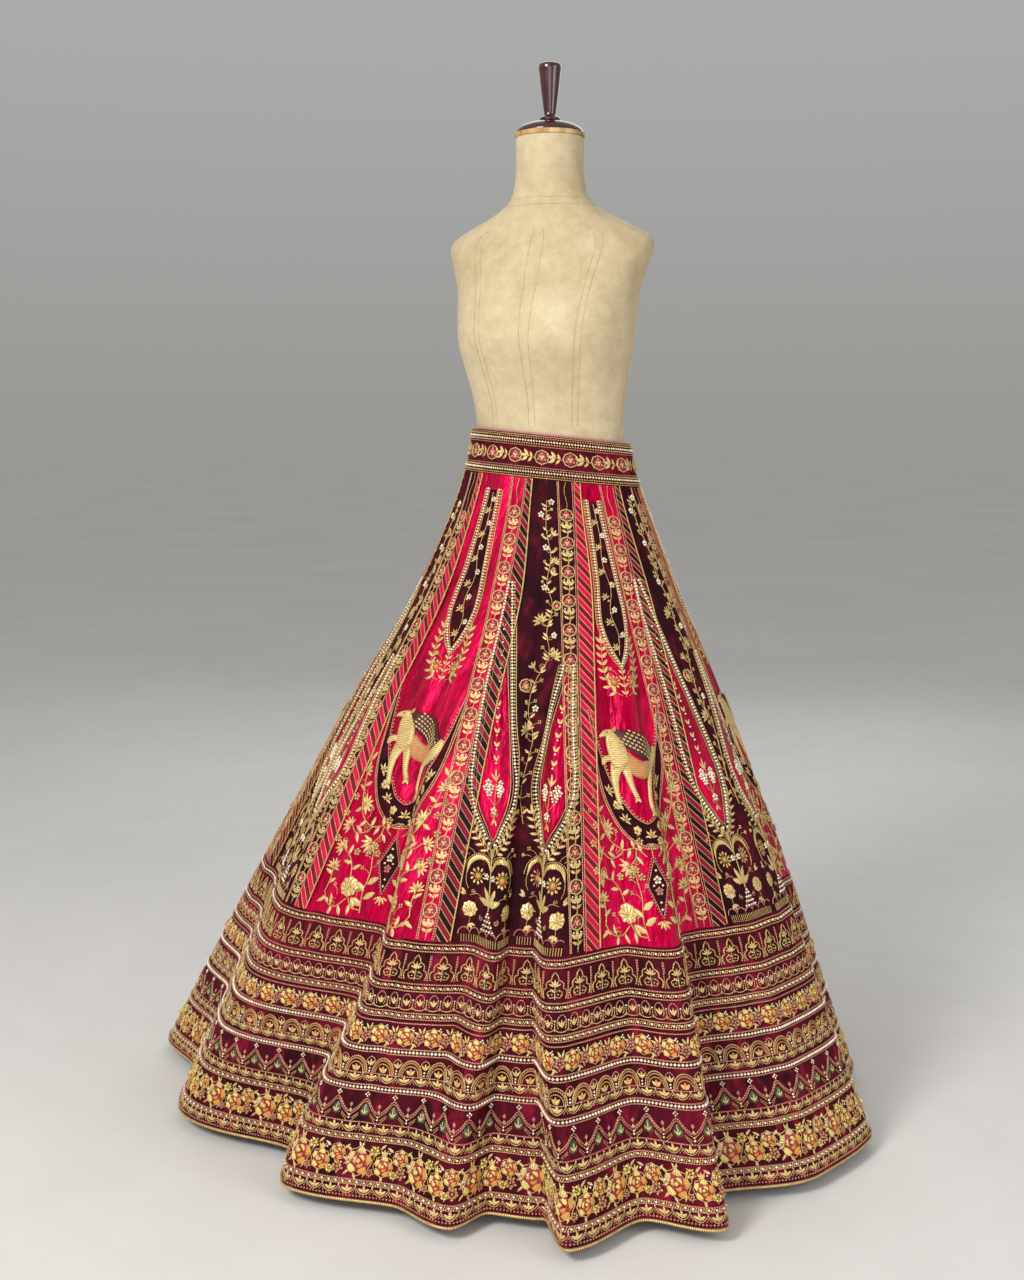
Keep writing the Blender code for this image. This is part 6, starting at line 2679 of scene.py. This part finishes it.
    @staticmethod
    def garden(_: float) -> Drawing:
        """Two large roses, buds, pink flowers and leaves, 94 mm wide and 44 mm tall."""
        art = Drawing()
        art.add(garden_rose(0.019, CREAM), -0.03, -0.001)
        art.add(garden_rose(0.0142, LEMON), 0.0065, -0.005)
        art.add(garden_rose(0.0112, CREAM), 0.031, 0.0085)
        for x, y, size, yarn in ((-0.0085, 0.014, 0.007, LEMON), (0.0345, -0.011, 0.0078, ROSE_GOLD),
                                 (0.0235, -0.015, 0.0058, LEMON), (-0.012, -0.015, 0.0055, ROSE_GOLD)):
            art.add(blossom(size, yarn), x, y)
            art.petals(GOLD, x, y, size * 0.5, size * 1.1, 5, size * 0.45, 54)
        leaves = (
            (-0.03, 0.015, 70), (-0.03, 0.015, 110), (0.006, 0.007, 60), (0.006, 0.007, 90), (0.006, 0.007, 120),
            (-0.017, 0.008, 20), (0.018, 0.002, 30), (0.04, 0.003, 330), (0.04, 0.013, 40), (0.019, 0.015, 150),
            (-0.043, -0.014, 220), (-0.043, 0.011, 140), (-0.018, -0.012, 250), (0.006, -0.018, 270),
            (0.043, -0.006, 20),
            (-0.001, 0.017, 40), (0.015, -0.01, 320), (-0.036, -0.018, 300),
        )
        for i, (x, y, turn) in enumerate(leaves):
            art.leaf((GOLD, IVORY)[i % 2], x, y, turn, 0.0095, 0.0036)
        for line in (((-0.015, -0.002), (-0.008, 0.005), (-0.0085, 0.01)),
                     ((0.015, 0.0), (0.022, 0.002), (0.026, 0.006)),
                     ((0.033, 0.0), (0.036, -0.006), (0.0345, -0.01)),
                     ((0.04, 0.01), (0.045, 0.004), (0.048, 0.001))):
            art.stem(GOLD, line, 5, 0.0008)
        art.bead(PEARL, [(-0.047, 0.002), (-0.0455, -0.004), (0.014, 0.013), (0.0165, 0.016), (0.0455, 0.017)],
                 0.0015)
        return art


@dataclass
class RoundWork:
    """Rows of stitches laid right round the skirt, each at a height."""

    tailor: Embroiderer
    drape: Drape
    wall: float = 0.0022
    dips: bool = False

    CORD_POINTS = 480

    def band(self, height: float, art: Callable[[float], Drawing], pitch: float, phase: float = 0.0) -> None:
        """Repeats a drawing, made for the exact pitch."""
        ring = RingMap(self.drape, height, dips=self.dips)
        places, exact = ring.spaced(pitch, phase)
        self.tailor.lay(art(exact), ring, self.wall, Edge.LEFT, [(float(x), 0.0) for x in places])

    def cord(self, height: float, yarn: Yarn, radius: float, count: int = CORD_POINTS) -> None:
        """One closed cord."""
        ring = RingMap(self.drape, height, dips=self.dips)
        line = Drawing()
        places = side_by_side(np.arange(count) * ring.total / count, np.zeros(count))
        line.thread(yarn, places, radius, closed=True)
        self.tailor.lay(line, ring, self.wall, Edge.LEFT)

    def beads(self, height: float, yarn: Yarn, radius: float, pitch: float) -> None:
        """One row of beads."""
        ring = RingMap(self.drape, height, dips=self.dips)
        places, _ = ring.spaced(pitch)
        row = Drawing()
        row.bead(yarn, side_by_side(places, np.zeros(len(places))), radius)
        self.tailor.lay(row, ring, self.wall, Edge.LEFT)


def slanting_stitches(_: float) -> Drawing:
    """Two slanting gold stitches of a trim."""
    art = Drawing()
    for x in (-0.0014, 0.0018):
        art.thread(GOLD, [(x - 0.0012, -0.0022), (x + 0.0012, 0.0022)], 0.0011)
    return art


class BorderWork(RoundWork):
    """All the bands of stitches on the border's three tiers."""

    def trim(self, top: float, bottom: float, bright: bool = False) -> None:
        """A trim: cords at its edges and a row of pearls and gold stitches between."""
        middle = (top + bottom) / 2
        self.cord(top - 0.0012, ROSE_GOLD, 0.0014)
        self.cord(bottom + 0.0012, ROSE_GOLD, 0.0014)
        if bright:
            self.beads(middle, PEARL, 0.0023, 0.0054)
            return
        self.beads(middle, PEARL, 0.0021, 0.0105)
        self.band(middle, slanting_stitches, 0.0105, 0.5)

    def build(self, tier: str) -> list[Piece]:
        """Lays and joins one tier's bands."""
        rows = {"border_upper": self.upper, "border_middle": self.middle, "border_lower": self.lower}[tier]
        return [self.tailor.finish(f"{tier}_embroidery_{part}", "gold_cord") for part in rows()]

    def upper(self) -> Iterable[str]:
        """The arches and the palmettes."""
        self.trim(0.352, 0.34)
        self.band(0.32, BorderArt.arch, 0.039)
        self.trim(0.3, 0.288)
        yield "arches"
        self.band(0.2755, BorderArt.palmette, 0.02)
        self.trim(0.262, 0.252)
        yield "palmettes"

    def middle(self) -> Iterable[str]:
        """The roses and the domes."""
        self.cord(0.2475, ROSE_GOLD, 0.0014)
        self.band(0.23, BorderArt.rose_row, 0.04)
        self.trim(0.215, 0.205, bright=True)
        yield "roses"
        self.band(0.19, BorderArt.dome, 0.041)
        self.cord(0.1786, ROSE_GOLD, 0.0011)
        self.band(0.173, BorderArt.chain, 0.025)
        yield "domes"

    def lower(self) -> Iterable[str]:
        """The temples, the garden and the hem's chain."""
        self.trim(0.165, 0.1555, bright=True)
        self.band(0.133, BorderArt.temple, 0.043)
        self.cord(0.116, ROSE_GOLD, 0.0012)
        yield "temples"
        self.band(0.1085, BorderArt.chain, 0.025)
        self.trim(0.102, 0.093)
        self.band(0.069, BorderArt.garden, 0.094)
        yield "garden"
        self.trim(0.046, 0.038)
        self.band(0.032, BorderArt.chain, 0.025)
        self.beads(0.0255, ROSE_GOLD, 0.0017, 0.005)
        yield "hem"


def waist_motif(pitch: float) -> Drawing:
    """A rose, a leaf sprig beside it and two pearls."""
    motif = Drawing()
    motif.add(small_rose(0.0118), 0, 0)
    motif.add(leaf_sprig(0.026), pitch / 2, 0, 78)
    motif.bead(PEARL, [(pitch / 2 - 0.013, 0.006), (pitch / 2 - 0.011, -0.007)], 0.0015)
    return motif


class WaistWork(RoundWork):
    """The waistband's rows of beads, its roses and its cords."""

    def build(self, top: float, bottom: float) -> list[Piece]:
        """Lays and joins the waistband's stitches."""
        for inward, yarn, radius, pitch in (
            (0.005, GOLD, 0.0015, 0.004), (0.01, PEARL, 0.0019, 0.0048), (0.0145, IVORY, 0.0015, 0.0042),
        ):
            self.beads(top - inward, yarn, radius, pitch)
        for inward, yarn, radius, pitch in (
            (0.0145, IVORY, 0.0015, 0.0042), (0.01, PEARL, 0.0019, 0.0048), (0.005, GOLD, 0.0015, 0.004),
        ):
            self.beads(bottom + inward, yarn, radius, pitch)
        self.band((top + bottom) / 2, waist_motif, 0.046)
        for height, yarn in (
            (top - 0.0018, GOLD), (top - 0.0182, ROSE_GOLD),
            (bottom + 0.0182, ROSE_GOLD), (bottom + 0.0016, GOLD),
        ):
            self.cord(height, yarn, 0.001, 240)
        return [self.tailor.finish("waistband_embroidery", "gold_cord")]


# ---- the room -----------------------------------------------------------------------------------

@dataclass
class Studio:
    """A plain pale floor, soft lights and the camera."""

    camera_y: float = -2.7
    camera_z: float = 1.1
    lens: float = 55.83
    shift_x: float = -0.0371
    shift_y: float = -0.208

    SKY = ((0.0, (0.317, 0.313, 0.3, 1.0)), (0.22, (0.4, 0.4, 0.395, 1.0)), (0.7, (0.44, 0.44, 0.435, 1.0)))

    def build(self, wardrobe: Wardrobe) -> None:
        """Sets the scene round the form."""
        self.build_floor(wardrobe)
        self.build_world()
        self.add_light("key", (-1.9, -2.6, 2.7), (0.0, -0.1, 0.75), 1.1, 98.0, (1.0, 0.985, 0.96))
        self.add_light("fill", (2.6, -2.2, 1.7), (0.0, 0.0, 0.7), 1.8, 30.0, (0.97, 0.985, 1.0))
        self.add_light("low", (-0.2, -3.6, 1.2), (0.0, 0.0, 0.3), 2.0, 24.0, (1.0, 0.97, 0.95))
        self.add_light("back", (0.6, 2.8, 2.6), (0.0, 0.0, 0.8), 2.6, 20.0, (1.0, 1.0, 1.0))
        self.add_camera()

    def build_floor(self, wardrobe: Wardrobe) -> None:
        """The floor under the stand."""
        points = np.array([[x, y, 0.0] for x, y in ((-60.0, -60.0), (60.0, -60.0), (60.0, 60.0), (-60.0, 60.0))])
        floor = link("floor", new_mesh("floor", points, [np.array([[0, 1, 2, 3]])]))
        wardrobe.dress(floor, "floor")

    def build_world(self) -> None:
        """A pale surround, dimmer at the floor's far edge so that the two meet softly."""
        bpy.context.scene.view_settings.view_transform = "Standard"
        world = bpy.data.worlds.new("studio")
        world.use_nodes = True
        wire = Wiring(world.node_tree)
        split = wire.node("ShaderNodeSeparateXYZ")
        wire.feed(split.inputs[0], wire.node("ShaderNodeTexCoord").outputs["Generated"])
        surround = world.node_tree.nodes["Background"]
        wire.feed(surround.inputs["Color"], wire.ramp(split.outputs[2], *self.SKY))
        surround.inputs["Strength"].default_value = 1.0
        bpy.context.scene.world = world

    def add_light(self, name: str, place: tuple, aim: tuple, size: float, power: float, colour: tuple) -> None:
        """One soft square light."""
        lamp = bpy.data.lights.new(name, "AREA")
        lamp.size, lamp.energy, lamp.color = size, power, colour
        holder = bpy.data.objects.new(name, lamp)
        holder.location = place
        holder.rotation_euler = (Vector(aim) - Vector(place)).to_track_quat("-Z", "Y").to_euler()
        bpy.context.scene.collection.objects.link(holder)

    def add_camera(self) -> None:
        """A level camera, square on to the form."""
        lens = bpy.data.cameras.new("camera")
        lens.lens, lens.sensor_width, lens.sensor_fit = self.lens, 36.0, "HORIZONTAL"
        lens.shift_x, lens.shift_y = self.shift_x, self.shift_y
        lens.clip_start, lens.clip_end = 0.05, 60.0
        holder = bpy.data.objects.new("camera", lens)
        holder.location = (0.0, self.camera_y, self.camera_z)
        holder.rotation_euler = (math.radians(90.0), 0.0, 0.0)
        bpy.context.scene.collection.objects.link(holder)
        bpy.context.scene.camera = holder


def main() -> None:
    """Builds everything in order."""
    logging.basicConfig(level=logging.INFO, format="%(name)s: %(message)s")
    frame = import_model()
    measures = Measures.from_frame()
    LOG.info("seams: %s", measures)
    wardrobe = Wardrobe()
    threads, beads = ThreadRecipe("laid thread"), BeadRecipe("sewn beads")
    Studio().build(wardrobe)

    form = DressForm()
    form.build_torso(wardrobe)
    form.build_stitching(threads, wardrobe)
    form.build_top(wardrobe)
    form.dress_solids(wardrobe, {name: bpy.data.objects[name] for name in frame["nodes"]})

    drape = Drape(measures.waist_top, measures.waist_seam, measures.waist_dip, measures.border_top, measures.hem)
    tailor = Embroiderer(threads, beads, wardrobe)
    waist = Waistband(drape, measures.waist_top, measures.waist_seam)
    waist_cloth = waist.build(wardrobe)
    waist_pieces = [waist.build_piping(threads, wardrobe)]
    waist_pieces += WaistWork(tailor, drape, waist.wall, dips=True).build(waist.top, waist.bottom)
    waist.declare(waist_cloth, waist_pieces)

    for number in range(len(KALIS)):
        kali = Kali(number, drape)
        panel, band = kali.build_panel(wardrobe), kali.build_band(wardrobe)
        work = KaliWork(kali).build(tailor)
        kali.declare(panel, band, work)

    tiers = (
        Tier("border_upper", measures.border_top, measures.upper_seam, drape),
        Tier("border_middle", measures.upper_seam - 0.0003, measures.middle_seam, drape),
        Tier("border_lower", measures.middle_seam - 0.0003, measures.hem, drape),
    )
    border = BorderWork(tailor, drape)
    piping = HemPiping(drape, measures.hem).build(threads, wardrobe)
    above = [f"kali_{n + 1:02d}_{cloth.value}_cloth" for n, (cloth, _) in enumerate(KALIS)]
    for tier in tiers:
        cloth = tier.build(wardrobe)
        work = border.build(tier.name)
        tier.declare(cloth, above, work + ([piping] if tier.name == "border_lower" else []))
        above = [cloth.name]


if __name__ == "__main__":
    main()
